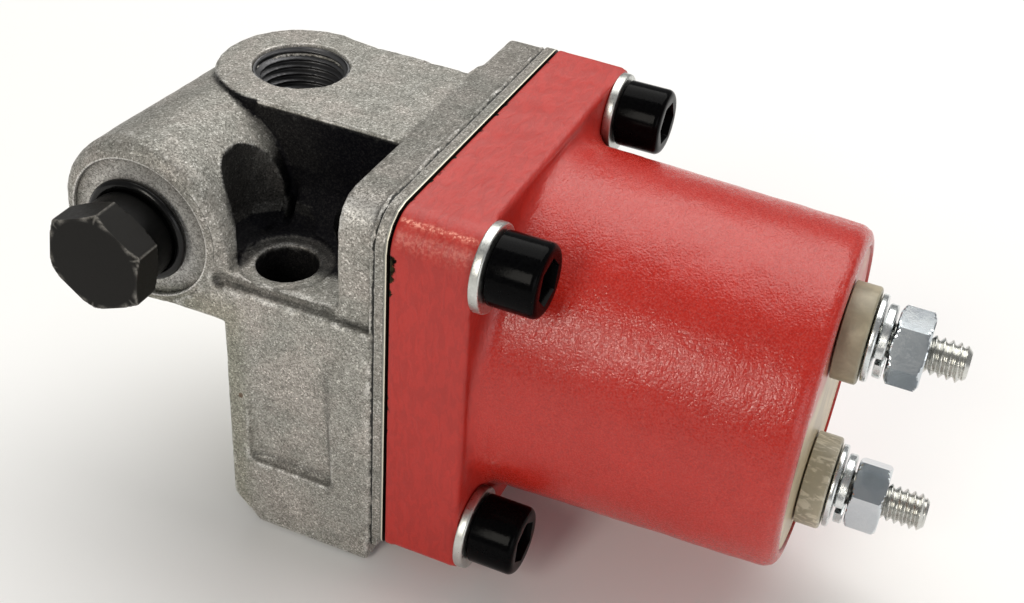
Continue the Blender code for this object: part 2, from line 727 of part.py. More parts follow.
def build_housing():
    """Square flange and round pot in one casting, hollow for the coil, open at the far end."""
    flange = slab("solenoid_housing", square_outline(
        FLANGE_HALF, FLANGE_HALF, AXIS_Z + FLANGE_HALF, AXIS_Z - FLANGE_HALF, HOUSING_LOW_R,
    ), "X", HOUSING_FACE, HOUSING_BACK)
    bevel(flange, HOUSING_EDGE, 2)

    root = POT_ROOT_R
    rim = POT_RIM_R
    profile = [(0.0, POT_L)]
    profile += arc((POT_TIP_R - rim, POT_L - rim), rim, 90.0, 0.0, 3)
    profile += arc((POT_R + root, HOUSING_FLANGE_T + root), root, 180.0, 255.0, 3)
    profile.append((profile[-1][0], HOUSING_FLANGE_T - BITE))
    profile.append((0.0, HOUSING_FLANGE_T - BITE))
    pot = turned("pot", profile, "X", (HOUSING_FACE, 0.0, AXIS_Z), POT_STEPS)
    inside = FLANGE_HALF - HOUSING_EDGE * 1.1
    fence = slab("pot_fence", square_outline(
        inside, inside, AXIS_Z + inside, AXIS_Z - inside, HOUSING_LOW_R,
    ), "X", HOUSING_FACE, POT_END + PAST)
    combine(pot, fence, "INTERSECT")
    combine(flange, pot, "UNION")

    bore = turned("coil_bore_tool", [
        (0.0, BULKHEAD), (COIL_BORE_R, BULKHEAD),
        (COIL_BORE_R, HOUSING_FACE - PAST), (0.0, HOUSING_FACE - PAST),
    ], "X", (0.0, 0.0, AXIS_Z), ROUND, False, ROLL)
    combine(flange, bore, "DIFFERENCE")
    recess = turned("recess_tool", [
        (0.0, POT_END + PAST), (RECESS_R, POT_END + PAST),
        (RECESS_R, RECESS_FLOOR), (0.0, RECESS_FLOOR),
    ], "X", (0.0, 0.0, AXIS_Z), ROUND, False, ROLL)
    combine(flange, recess, "DIFFERENCE")
    spigot = rod(
        "spigot_tool", CORE_SPIGOT_R + GAP,
        (BULKHEAD - PAST / 2.0, 0.0, AXIS_Z), (RECESS_FLOOR + PAST / 2.0, 0.0, AXIS_Z), SMALL,
    )
    combine(flange, spigot, "DIFFERENCE")
    for name, z in terminal_places():
        tool = rod(
            "lead_tool_" + name, LEAD_R + LEAD_CLEAR,
            (BULKHEAD - PAST / 2.0, TERMINAL_Y, z), (RECESS_FLOOR + PAST / 2.0, TERMINAL_Y, z), 16,
        )
        combine(flange, tool, "DIFFERENCE")
    for index, (y, z) in enumerate(screw_places()):
        seat_r = WASHER_R + WASHER_DROP + GAP
        seat_end = SCREW_HEAD_FACE + SCREW_HEAD_H
        hole_r = SCREW_R + GAP
        tool = turned("screw_tool_%d" % (index + 1), [
            (0.0, seat_end), (seat_r, seat_end), (seat_r, SCREW_SEAT), (hole_r, SCREW_SEAT),
            (hole_r, HOUSING_FACE - PAST), (0.0, HOUSING_FACE - PAST),
        ], "X", (0.0, y, z), SMALL, False, ROLL * (index + 1))
        combine(flange, tool, "DIFFERENCE")
    return flange


def terminal_places():
    """The two studs, as (name, z)."""
    return [("upper", AXIS_Z + TERMINAL_UP), ("lower", AXIS_Z - TERMINAL_DOWN)]


def build_screws(black, zinc):
    """Four socket head screws with their washers."""
    for index, (y, z) in enumerate(screw_places()):
        number = index + 1
        edge = SCREW_HEAD_EDGE
        tip = SCREW_R * 0.2
        screw = turned("flange_screw_%d" % number, [
            (0.0, SCREW_HEAD_H),
            (SCREW_HEAD_R - edge, SCREW_HEAD_H),
            (SCREW_HEAD_R - edge * 0.3, SCREW_HEAD_H - edge * 0.3),
            (SCREW_HEAD_R, SCREW_HEAD_H - edge),
            (SCREW_HEAD_R, edge * 0.3),
            (SCREW_HEAD_R - edge * 0.3, 0.0),
            (SCREW_R, 0.0),
            (SCREW_R, -SCREW_UNDER_L + tip),
            (SCREW_R - tip, -SCREW_UNDER_L),
            (0.0, -SCREW_UNDER_L),
        ], "X", (SCREW_HEAD_FACE, y, z), SMALL)
        head_end = SCREW_HEAD_FACE + SCREW_HEAD_H
        socket = slab(
            "socket_tool_%d" % number,
            moved(hexagon(SCREW_SOCKET_AF, 17.0 * number), y, z),
            "X", head_end - SCREW_SOCKET_DEPTH, head_end + PAST,
        )
        combine(screw, socket, "DIFFERENCE")
        finish(screw, black)

        inner = WASHER_BORE_R
        washer = turned("flange_washer_%d" % number, [
            (WASHER_R, WASHER_T), (WASHER_R, 0.0), (inner, 0.0), (inner, WASHER_T),
        ], "X", (SCREW_SEAT + GAP, y, z - WASHER_DROP), 28, True)
        finish(washer, zinc)


def build_plug(black, rubber):
    """Hexagon plug of the front boss, with its rubber ring."""
    back = BOSS_FACE_Y - PLUG_STAND
    ring_y = BOSS_FACE_Y + SPOT_DEPTH - GAP - PLUG_RING_R
    groove_start = ring_y - PLUG_GROOVE_L / 2.0
    groove_end = ring_y + PLUG_GROOVE_L / 2.0
    place = (BOSS_X, 0.0, BOSS_Z)
    plug = turned("side_port_plug", [
        (0.0, PLUG_END),
        (PLUG_THREAD_R - PLUG_BEVEL, PLUG_END),
        (PLUG_THREAD_R, PLUG_END - PLUG_BEVEL),
        (PLUG_THREAD_R, groove_end),
        (PLUG_GROOVE_R, groove_end),
        (PLUG_GROOVE_R, groove_start),
        (PLUG_NECK_R, groove_start),
        (PLUG_NECK_R, back - PLUG_BEVEL),
        (0.0, back - PLUG_BEVEL),
    ], "Y", place, 24)
    head = slab(
        "plug_head", moved(hexagon(PLUG_AF, -PLUG_HEX_TURN), BOSS_X, BOSS_Z),
        "Y", back - PLUG_HEX_T, back,
    )
    corner_r = PLUG_AF / math.sqrt(3.0)
    crown = turned("plug_crown", [
        (0.0, back + PLUG_BEVEL),
        (PLUG_AF / 2.0 + PLUG_BEVEL, back + PLUG_BEVEL),
        (corner_r + PLUG_BEVEL / 2.0, back - PLUG_BEVEL / 2.0),
        (corner_r + PLUG_BEVEL / 2.0, back - PLUG_HEX_T + PLUG_BEVEL * 0.6),
        (PLUG_AF / 2.0, back - PLUG_HEX_T - PLUG_BEVEL * 0.1),
        (0.0, back - PLUG_HEX_T - PLUG_BEVEL * 0.1),
    ], "Y", place, 28, False, ROLL)
    combine(head, crown, "INTERSECT")
    combine(plug, head, "UNION")
    finish(plug, black)

    ring_r = PLUG_GROOVE_R + GAP + PLUG_RING_R
    profile = arc((ring_r, 0.0), PLUG_RING_R, 90.0, -270.0, 6)[:-1]
    ring = turned("plug_o_ring", profile, "Y", (BOSS_X, ring_y, BOSS_Z), 28, True)
    finish(ring, rubber)


def build_terminals(olive, zinc, steel):
    """Two threaded studs with insulators, washers and nuts."""
    for name, z in terminal_places():
        place = (0.0, TERMINAL_Y, z)
        tip = STUD_TIP_UPPER
        turn = NUT_TURN_UPPER
        if name == "lower":
            tip = STUD_TIP_LOWER
            turn = NUT_TURN_LOWER
        head = RECESS_FLOOR + 2.0 * GAP
        end = INSULATOR_FACE + tip
        stud = turned("terminal_stud_" + name, [
            (0.0, end), (STUD_R - STUD_BEVEL, end), (STUD_R, end - STUD_BEVEL),
            (STUD_R, head + STUD_HEAD_T), (STUD_HEAD_R, head + STUD_HEAD_T),
            (STUD_HEAD_R, head), (0.0, head),
        ], "X", place, SMALL)
        finish(stud, steel)

        bore = STUD_R + GAP
        start = RESIN_FACE + GAP
        face = INSULATOR_FACE
        edge = INSULATOR_EDGE
        insulator = turned("terminal_insulator_" + name, [
            (INSULATOR_R - edge, face), (INSULATOR_R, face - edge),
            (INSULATOR_R, start), (bore, start), (bore, face),
        ], "X", place, 28, True)
        finish(insulator, olive)

        start = face + GAP
        flat_end = start + FLAT_T
        flat = turned("terminal_flat_washer_" + name, [
            (FLAT_R, flat_end), (FLAT_R, start), (bore, start), (bore, flat_end),
        ], "X", place, 28, True)
        finish(flat, zinc)

        lock_start = flat_end + GAP
        lock = build_lock_washer("terminal_lock_washer_" + name, lock_start, z)
        finish(lock, zinc)

        nut_start = lock_start + LOCK_T + LOCK_RISE + GAP
        nut_end = nut_start + NUT_T
        nut = slab(
            "terminal_nut_" + name, moved(hexagon(NUT_AF, turn), TERMINAL_Y, z),
            "X", nut_start, nut_end,
        )
        corner_r = NUT_AF / math.sqrt(3.0)
        drop = (corner_r - NUT_AF / 2.0) * 0.6
        crown = turned("nut_crown_" + name, [
            (0.0, nut_end + drop * 0.1), (NUT_AF / 2.0, nut_end + drop * 0.1),
            (corner_r + drop * 0.2, nut_end - drop),
            (corner_r + drop * 0.2, nut_start + drop),
            (NUT_AF / 2.0, nut_start - drop * 0.1), (0.0, nut_start - drop * 0.1),
        ], "X", place, 24)
        combine(nut, crown, "INTERSECT")
        hole = turned("nut_hole_" + name, [
            (0.0, nut_end + PAST), (bore + drop, nut_end + PAST), (bore + drop, nut_end),
            (bore, nut_end - drop), (bore, nut_start + drop), (bore + drop, nut_start),
            (bore + drop, nut_start - PAST), (0.0, nut_start - PAST),
        ], "X", place, SMALL)
        combine(nut, hole, "DIFFERENCE")
        finish(nut, zinc)


def build_lock_washer(name, start, z):
    """A split spring washer: its section swept round the stud with a small rise."""
    inner = STUD_R + GAP
    steps = 26
    half_gap = math.asin(LOCK_GAP / 2.0 / LOCK_R)
    mesh = bpy.data.meshes.new(name)
    bm = bmesh.new()
    rings = []
    for k in range(steps + 1):
        share = k / steps
        angle = half_gap + (2.0 * math.pi - 2.0 * half_gap) * share
        rise = LOCK_RISE * share
        ring = []
        for radius, height in ((inner, 0.0), (LOCK_R, 0.0), (LOCK_R, LOCK_T), (inner, LOCK_T)):
            ring.append(bm.verts.new((
                height + rise, -radius * math.cos(angle), radius * math.sin(angle),
            )))
        rings.append(ring)
    for first, second in zip(rings, rings[1:]):
        for i in range(4):
            j = (i + 1) % 4
            bm.faces.new((first[i], first[j], second[j], second[i]))
    bm.faces.new(rings[0])
    bm.faces.new(list(reversed(rings[-1])))
    bmesh.ops.recalc_face_normals(bm, faces=bm.faces)
    bm.to_mesh(mesh)
    bm.free()
    return new_object(name, mesh, Matrix.Translation((start, TERMINAL_Y, z)))


def build_inside(iron, copper, nylon, rubber, resin, spring_steel):
    """Core, coil, leads, resin, seals and the valve disc."""
    axis = (0.0, 0.0, AXIS_Z)
    core_face = HOUSING_FACE
    core_end = BULKHEAD - GAP
    spigot_end = RECESS_FLOOR
    core = turned("pole_core", [
        (0.0, spigot_end), (CORE_SPIGOT_R, spigot_end), (CORE_SPIGOT_R, core_end),
        (CORE_R, core_end), (CORE_R, core_face), (0.0, core_face),
    ], "X", axis, 32)
    finish(core, iron)

    spool_r = CORE_R + GAP
    tube_r = spool_r + SPOOL_WALL
    out_r = COIL_BORE_R - SPOOL_CLEAR
    front = HOUSING_FACE + SPOOL_FRONT
    back = BULKHEAD - SPOOL_BACK
    bobbin = turned("coil_bobbin", [
        (out_r, back), (out_r, back - SPOOL_FLANGE_T), (tube_r, back - SPOOL_FLANGE_T),
        (tube_r, front + SPOOL_FLANGE_T), (out_r, front + SPOOL_FLANGE_T), (out_r, front),
        (spool_r, front), (spool_r, back),
    ], "X", axis, 28, True)
    for name, z in terminal_places():
        tool = rod(
            "spool_lead_tool_" + name, LEAD_R + LEAD_CLEAR,
            (back - SPOOL_FLANGE_T * 1.5, TERMINAL_Y, z), (back + PAST, TERMINAL_Y, z), 12,
        )
        combine(bobbin, tool, "DIFFERENCE")
    finish(bobbin, nylon)

    coil_in = tube_r + GAP
    coil_out = min(coil_in + WINDING_DEPTH, out_r)
    coil_front = front + SPOOL_FLANGE_T + GAP
    coil_back = back - SPOOL_FLANGE_T - GAP
    winding = turned("coil_winding", [
        (coil_out, coil_back), (coil_out, coil_front), (coil_in, coil_front), (coil_in, coil_back),
    ], "X", axis, 28, True)
    finish(winding, copper)

    for name, z in terminal_places():
        start = coil_back + GAP
        end = RECESS_FLOOR + GAP
        lead = rod("coil_lead_" + name, LEAD_R, (start, TERMINAL_Y, z), (end, TERMINAL_Y, z), 12)
        finish(lead, copper)

    fill_r = RECESS_R - GAP
    fill = turned("end_resin", [
        (0.0, RESIN_FACE), (fill_r, RESIN_FACE), (fill_r, RECESS_FLOOR + GAP),
        (0.0, RECESS_FLOOR + GAP),
    ], "X", axis, ROUND)
    for name, z in terminal_places():
        tool = turned("resin_tool_" + name, [
            (0.0, RESIN_FACE + PAST), (STUD_R + GAP, RESIN_FACE + PAST),
            (STUD_R + GAP, RECESS_FLOOR + 3.0 * GAP + STUD_HEAD_T),
            (STUD_HEAD_R + GAP, RECESS_FLOOR + 3.0 * GAP + STUD_HEAD_T),
            (STUD_HEAD_R + GAP, RECESS_FLOOR - PAST), (0.0, RECESS_FLOOR - PAST),
        ], "X", (0.0, TERMINAL_Y, z), 18, False, ROLL)
        combine(fill, tool, "DIFFERENCE")
    finish(fill, resin)

    profile = arc((ORING_R, 0.0), ORING_TUBE_R, 90.0, -270.0, 6)[:-1]
    ring_x = (BODY_FACE - ORING_GROOVE_DEPTH + HOUSING_FACE) / 2.0
    ring = turned("housing_o_ring", profile, "X", (ring_x, 0.0, AXIS_Z), ROUND, True)
    finish(ring, rubber)

    seal_hole = SEAL_R + GAP
    seal_floor = DISC_BACK + SEAL_T - SEAL_PROUD + GAP
    spring_in = SPRING_R - SPRING_W / 2.0 - GAP * 2.0
    spring_out = SPRING_R + SPRING_W / 2.0 + GAP * 2.0
    spring_floor = DISC_FRONT - SPRING_SEAT_DEPTH
    edge = DISC_BEVEL
    disc = turned("valve_disc", [
        (0.0, DISC_FRONT), (spring_in, DISC_FRONT), (spring_in, spring_floor),
        (spring_out, spring_floor), (spring_out, DISC_FRONT),
        (DISC_R - edge, DISC_FRONT), (DISC_R, DISC_FRONT - edge),
        (DISC_R, DISC_BACK + edge), (DISC_R - edge, DISC_BACK),
        (seal_hole, DISC_BACK), (seal_hole, seal_floor), (0.0, seal_floor),
    ], "X", axis, 28)
    finish(disc, iron)
    seal = turned("disc_seal", [
        (0.0, SEAL_FACE + SEAL_T), (SEAL_R, SEAL_FACE + SEAL_T),
        (SEAL_R, SEAL_FACE), (0.0, SEAL_FACE),
    ], "X", axis, 28)
    finish(seal, rubber)

    spring = build_wave_spring()
    finish(spring, spring_steel)


def build_wave_spring():
    """A flat ring bent in waves along the coil axis, between the disc and the spool."""
    low = DISC_FRONT - SPRING_SEAT_DEPTH + GAP
    high = HOUSING_FACE + SPOOL_FRONT - GAP
    middle = (low + high - SPRING_T) / 2.0
    swing = (high - low - SPRING_T) / 2.0
    inner = SPRING_R - SPRING_W / 2.0
    outer = SPRING_R + SPRING_W / 2.0
    steps = 10 * SPRING_WAVES
    mesh = bpy.data.meshes.new("wave_spring")
    bm = bmesh.new()
    rings = []
    for k in range(steps):
        angle = 2.0 * math.pi * k / steps
        rise = swing * math.cos(SPRING_WAVES * angle)
        ring = []
        for radius, height in ((inner, 0.0), (outer, 0.0), (outer, SPRING_T), (inner, SPRING_T)):
            ring.append(bm.verts.new((
                height + rise, radius * math.cos(angle), radius * math.sin(angle),
            )))
        rings.append(ring)
    for k in range(steps):
        first = rings[k]
        second = rings[(k + 1) % steps]
        for i in range(4):
            j = (i + 1) % 4
            bm.faces.new((first[i], first[j], second[j], second[i]))
    bmesh.ops.recalc_face_normals(bm, faces=bm.faces)
    bm.to_mesh(mesh)
    bm.free()
    return new_object("wave_spring", mesh, Matrix.Translation((middle, 0.0, AXIS_Z)))


def main():
    """Build the whole solenoid."""
    cast = material("cast_iron_grey", (0.32, 0.32, 0.29), 0.6, 0.55)
    red = material("red_enamel", (0.52, 0.04, 0.03), 0.0, 0.30)
    black = material("black_oxide", (0.015, 0.015, 0.016), 0.5, 0.35)
    zinc = material("zinc_plate", (0.62, 0.64, 0.66), 1.0, 0.30)
    steel = material("bright_steel", (0.58, 0.58, 0.56), 1.0, 0.25)
    olive = material("olive_phenolic", (0.23, 0.21, 0.12), 0.0, 0.45)
    rubber = material("black_rubber", (0.012, 0.012, 0.012), 0.0, 0.40)
    resin = material("cream_resin", (0.62, 0.52, 0.36), 0.0, 0.40)
    copper = material("enamelled_copper", (0.50, 0.16, 0.06), 0.9, 0.35)
    nylon = material("natural_nylon", (0.70, 0.67, 0.58), 0.0, 0.45)
    iron = material("soft_iron", (0.36, 0.36, 0.37), 0.9, 0.40)
    plate = material("pale_plate", (0.66, 0.64, 0.55), 0.5, 0.40)
    spring_steel = material("spring_steel", (0.40, 0.41, 0.43), 1.0, 0.30)

    finish(build_valve_body(), cast)
    finish(build_shield(), plate)
    finish(build_housing(), red)
    build_screws(black, zinc)
    build_plug(black, rubber)
    build_terminals(olive, zinc, steel)
    build_inside(iron, copper, nylon, rubber, resin, spring_steel)


clear_scene()
PARTS, TOOLS = collections()
main()
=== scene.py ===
"""Dress of the engine solenoid: cast valve body, red coil housing, screws, plug and studs.

Lengths are in metres. X runs along the coil axis towards the studs, Y to the rear and Z up.
"""
import math

import bmesh
import bpy
import numpy as np
from mathutils import Matrix, Vector


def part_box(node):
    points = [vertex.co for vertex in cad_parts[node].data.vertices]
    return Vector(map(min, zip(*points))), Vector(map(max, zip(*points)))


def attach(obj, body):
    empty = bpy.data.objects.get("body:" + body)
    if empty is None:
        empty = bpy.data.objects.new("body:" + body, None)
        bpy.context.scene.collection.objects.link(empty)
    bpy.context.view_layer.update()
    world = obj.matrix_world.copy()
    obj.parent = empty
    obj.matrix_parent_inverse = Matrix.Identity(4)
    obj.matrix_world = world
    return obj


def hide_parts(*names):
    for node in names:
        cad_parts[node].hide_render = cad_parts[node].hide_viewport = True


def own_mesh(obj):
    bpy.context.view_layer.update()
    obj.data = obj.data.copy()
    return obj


bl_info = {
    "name": "Engine Solenoid Dress",
    "version": (1, 0, 0),
    "blender": (4, 5, 0),
    "location": "View3D > Sidebar > Solenoid",
    "description": "Surfaces and finishes of an engine solenoid with its valve body",
    "category": "Object",
}

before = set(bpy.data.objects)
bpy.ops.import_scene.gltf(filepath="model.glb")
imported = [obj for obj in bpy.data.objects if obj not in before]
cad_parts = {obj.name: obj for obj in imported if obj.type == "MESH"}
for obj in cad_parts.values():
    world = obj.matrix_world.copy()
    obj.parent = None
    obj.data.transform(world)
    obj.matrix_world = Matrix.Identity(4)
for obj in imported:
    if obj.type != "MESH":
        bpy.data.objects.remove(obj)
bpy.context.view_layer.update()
FIXED = "valve_and_coil"      # body of every new piece
AXIS_Z = 0.038                # height of the coil axis
PORT = (-0.0133, 0.0035)      # X and Y of the inlet port
ARM_R = 0.0145                # round end of the arm, about the port
BOSS = (-0.0214, 0.0555)      # X and Z of the front boss
BOSS_RIGHT = -0.0085          # the boss and its blends end here
BOLT_Y = 0.024                # the two mounting bolts stand at X 0 and this far from the middle
BOLT_HOLE_R = 0.0050
SPOT_FACE_R = 0.0078          # wall of the round seat cut for each bolt
SHELF_TOP = 0.0502            # height of those seats
ARM_TOP = 0.0700
OVER = 0.0020                 # a cut's wall is looked for this far over the arm's top
SCALLOP = (-0.0041, -0.0207)  # X and Y of the hollow over the front bolt
SCALLOP_R = 0.0079
CORNER = (-0.0258, 0.0650)    # Y and Z of the flange's front top corner
CORNER_R = 0.0057
FLANGE_LEFT = 0.0131          # left side of the casting's square flange
FACE = 0.0213                 # the casting's face in the seam
RIM_LEFT = 0.0205             # left side of its machined rim
FINE_PITCH = 0.00127          # thread of the studs and screws
HEX_TURN = math.radians(-7.7)  # how far the side plug is turned
STUD_HOLE_R = 0.0035          # hole of the bushes and washers on the studs
ORDER = {"X": (1, 2, 0), "Y": (0, 2, 1), "Z": (0, 1, 2)}  # two axes across, then the axis
GROUPS = {}
FINISH = {}


def middle(node):
    """Centre of a CAD node's box."""
    low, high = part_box(node)
    return np.array([(a + b) / 2.0 for a, b in zip(low, high)])


def ends(node, axis=0):
    """Lowest and highest place of a CAD node along one axis."""
    low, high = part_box(node)
    return low[axis], high[axis]


def half_size(node, axis):
    """Half of a CAD node's length along one axis."""
    low, high = ends(node, axis)
    return (high - low) / 2.0


# ---- sizes and colours that a user would change ----


def length(name, description, default, **more):
    """A setting in metres."""
    return bpy.props.FloatProperty(
        name=name, description=description, default=default, unit="LENGTH", precision=5, **more
    )


def colour(name, description, default):
    """A colour setting."""
    return bpy.props.FloatVectorProperty(
        name=name, description=description, default=default, subtype="COLOR", min=0.0, max=1.0
    )


def turned_by(name, description, degrees):
    """An angle setting, given in degrees."""
    return bpy.props.FloatProperty(
        name=name, description=description, default=math.radians(degrees), subtype="ANGLE"
    )


class SolenoidCasting(bpy.types.PropertyGroup):
    """Sizes and colours of the iron casting."""

    voxel: length("Voxel", "Edge length of the rebuilt skin", 0.00042, min=0.0003)
    smoothing: bpy.props.IntProperty(
        name="Smoothing", description="Passes that round the cast edges", default=2, min=0,
    )
    lumps: length("Lumps", "Height of the uneven sand cast skin", 0.00010)
    grain: length("Grain", "Size of the dark and light grains", 0.00028)
    dark: colour("Dark grain", "Colour between the grains", (0.200, 0.194, 0.178))
    light: colour("Light grain", "Colour of the bright grains", (0.64, 0.625, 0.59))


class SolenoidEnamel(bpy.types.PropertyGroup):
    """Sizes and colours of the enamelled coil housing."""

    flange: length("Flange", "Thickness of the square flange", 0.0132)
    pot_root: length("Pot at flange", "Radius of the pot at the flange", 0.0303)
    pot_end: length("Pot at end", "Radius of the pot at its open end", 0.0291)
    rim: length("Rim", "Radius of the rim at the open end", 0.0027)
    front_corner: length("Front corner", "Radius of the flange corner at the front top", 0.0060)
    rear_corner: length("Rear corner", "Radius of the flange corner at the rear top", 0.0018)
    low_corner: length("Low corners", "Radius of the two lower flange corners", 0.0018)
    red: colour("Red", "Colour of the enamel", (0.47, 0.021, 0.013))


class SolenoidHardware(bpy.types.PropertyGroup):
    """Sizes of the screws, studs and threads."""

    stud: length("Stud", "Outer radius of the stud thread", 0.00315)
    stud_pitch: length("Stud pitch", "Pitch of the stud thread", FINE_PITCH)
    port_pitch: length("Port pitch", "Pitch of the pipe thread in the port", 0.00141)
    socket: length("Socket", "Across flats of the screw sockets", 0.00635)
    nut: length("Nut", "Across flats of the stud nuts", 0.01111)
    plug: length("Plug", "Across flats of the side plug", 0.0157)


class SolenoidStage(bpy.types.PropertyGroup):
    """Camera place, direction and lens."""

    azimuth: turned_by("Azimuth", "Camera direction round the part", 18.47)
    elevation: turned_by("Elevation", "Camera height over the part", 33.88)
    roll: turned_by("Roll", "Tilt of the camera", 5.94)
    place: bpy.props.FloatVectorProperty(
        name="Place", description="Camera place", default=(0.09988, -0.18243, 0.18144),
        subtype="XYZ", unit="LENGTH", precision=5,
    )
    lens: bpy.props.FloatProperty(
        name="Lens", description="Focal length on a 36 mm sensor", default=48.855,
    )
    shift: bpy.props.FloatVectorProperty(
        name="Shift", description="Sideways and upward shift of the frame",
        default=(-0.05376, -0.05344), size=2,
    )


# ---- numbers over a surface ----


def step(value, low, high):
    """A smooth step from 0 at low to 1 at high: 3t^2 - 2t^3."""
    t = np.clip((value - low) / (high - low), 0.0, 1.0)
    return t * t * (3.0 - 2.0 * t)


def bell(value, centre, width):
    """1 at the centre, falling off as exp(-(distance / width)^2)."""
    return np.exp(-((value - centre) / width) ** 2)


def between(value, low, high):
    """Whether each value lies between two limits."""
    return (value > low) & (value < high)


def value_noise(points, size, seed):
    """Smooth noise between -1 and 1.

    Each corner of a lattice with the given cell size has a value from a sine hash of its place,
    and a point takes the blend of its eight corners with weights 3t^2 - 2t^3 along each axis.
    """
    p = points / size + seed * 17.31
    base = np.floor(p)
    t = step(p - base, 0.0, 1.0)
    total = np.zeros(len(points))
    for dx in (0, 1):
        for dy in (0, 1):
            for dz in (0, 1):
                corner = base + np.array([dx, dy, dz])
                value = np.sin(corner @ np.array([127.1, 311.7, 74.7]) + seed * 3.7) * 43758.5453
                value = (value - np.floor(value)) * 2.0 - 1.0
                wx, wy, wz = (t[:, k] if d else 1.0 - t[:, k] for k, d in enumerate((dx, dy, dz)))
                total += value * (wx * wy * wz)
    return total


def get_points(mesh, what="co"):
    """The places or the normals of a mesh's points, one row each."""
    out = np.empty(len(mesh.vertices) * 3)
    mesh.vertices.foreach_get(what, out)
    return out.reshape(-1, 3)


def set_points(mesh, points):
    """Move a mesh's points."""
    mesh.vertices.foreach_set("co", points.ravel())
    mesh.update()


def set_number(mesh, name, values):
    """Let a mesh carry a number for each of its points, which its material reads."""
    layer = mesh.attributes.new(name, "FLOAT", "POINT")
    layer.data.foreach_set("value", np.ascontiguousarray(values, dtype=np.float32))


# ---- shapes ----


def full_turn(count):
    """Angles of one full turn, less its end."""
    return np.linspace(0.0, 2.0 * math.pi, count, endpoint=False)


def along(axis, centre, u, v, h):
    """Points from two coordinates across an axis and one along it.

    Along X the pair is (y, z), along Y it is (x, z) and along Z it is (x, y), from the centre.
    """
    i, j, k = ORDER[axis]
    out = np.empty(np.broadcast(u, v, h).shape + (3,))
    out[..., i], out[..., j], out[..., k] = centre[i] + u, centre[j] + v, h
    return out


def spin(axis, centre, angle, radii, heights):
    """Rings round an axis: (r, h) goes round as (r cos a, r sin a, h).

    Each ring's radius is one number, or one for each angle.
    """
    r = np.array([np.broadcast_to(radius, angle.shape) for radius in radii])
    h = np.reshape(heights, (-1, 1))
    return along(axis, centre, r * np.cos(angle), r * np.sin(angle), h)


def turned(axis, centre, profile, count):
    """Rings of a turned shape from its profile of (radius, height) points."""
    return spin(axis, centre, full_turn(count), *np.transpose(profile))


def soften(corners, steps=5):
    """Profile with an arc at each inner corner, given as (radius, height, arc radius).

    The arc touches both legs: it starts and ends at r / tan(half angle) from the corner.
    """
    pts = np.array([c[:2] for c in corners], dtype=float)
    out = [pts[0]]
    for i in range(1, len(pts) - 1):
        radius = corners[i][2]
        if radius <= 0.0:
            out.append(pts[i])
            continue
        before = pts[i - 1] - pts[i]
        after = pts[i + 1] - pts[i]
        before = before / np.linalg.norm(before)
        after = after / np.linalg.norm(after)
        half = math.acos(float(np.clip(before @ after, -1.0, 1.0))) / 2.0
        reach = radius / math.tan(half)
        both = before + after
        centre = pts[i] + both / np.linalg.norm(both) * radius / math.sin(half)
        a = pts[i] + before * reach - centre
        b = pts[i] + after * reach - centre
        start = math.atan2(a[1], a[0])
        turn = math.atan2(a[0] * b[1] - a[1] * b[0], float(a @ b))
        for k in range(steps + 1):
            angle = start + turn * k / steps
            out.append(centre + radius * np.array([math.cos(angle), math.sin(angle)]))
    out.append(pts[-1])
    return np.array(out)


def hexagon_reach(angle, flats, turn):
    """Distance from the centre to a hexagon's side: half the flats over the cosine of the angle
    to the nearest flat."""
    sector = math.pi / 3.0
    local = np.mod(angle - turn + sector / 2.0, sector) - sector / 2.0
    return flats / 2.0 / np.cos(local)


def chamfered(hexa, half, start, end, first, last, steps):
    """Radii and heights of a hexagon: the smaller of its reach and a cone at each end.

    A cone is given as what it adds to half the flats at its end, and its slope.
    """
    heights = [start + (end - start) * share for share in np.linspace(0.0, 1.0, steps)]
    radii = [
        np.minimum(
            np.minimum(hexa, half + first[0] + (h - start) * first[1]),
            half + last[0] + (end - h) * last[1],
        )
        for h in heights
    ]
    return radii, heights


def thread_depth(angle, height, pitch, hand=1.0):
    """Depth of a thread from 0 at the crest to 1 at the root.

    The phase is height over pitch less the angle over a full turn. The wave is a triangle with
    a flat crest and a rounded root.
    """
    phase = np.mod(height / pitch - hand * angle / (2.0 * math.pi), 1.0)
    wave = np.abs(phase * 2.0 - 1.0)
    return 1.0 - np.clip((wave - 0.10) / 0.80, 0.0, 1.0) ** 1.1


def bar_sweep(centre, inner, outer, thick, bevel, angle, rise, side=1.0):
    """A bevelled bar bent round the X axis, with its low face at the rise given for each angle."""
    r, h = np.transpose([
        (inner, bevel), (inner + bevel, 0.0), (outer - bevel, 0.0), (outer, bevel),
        (outer, thick - bevel), (outer - bevel, thick), (inner + bevel, thick),
        (inner, thick - bevel),
    ])
    return along("X", centre, side * (r * np.cos(angle)), r * np.sin(angle), h + rise)


def add_object(name, data):
    """A new object in the scene."""
    ob = bpy.data.objects.new(name, data)
    bpy.context.scene.collection.objects.link(ob)
    return ob


def fill_mesh(mesh, sources, merge=None):
    """Put copies of the source meshes in a mesh, with points closer than merge made one."""
    bm = bmesh.new()
    for source in sources:
        bm.from_mesh(source)
    if merge:
        bmesh.ops.remove_doubles(bm, verts=bm.verts, dist=merge)
    bm.to_mesh(mesh)
    bm.free()
    return mesh


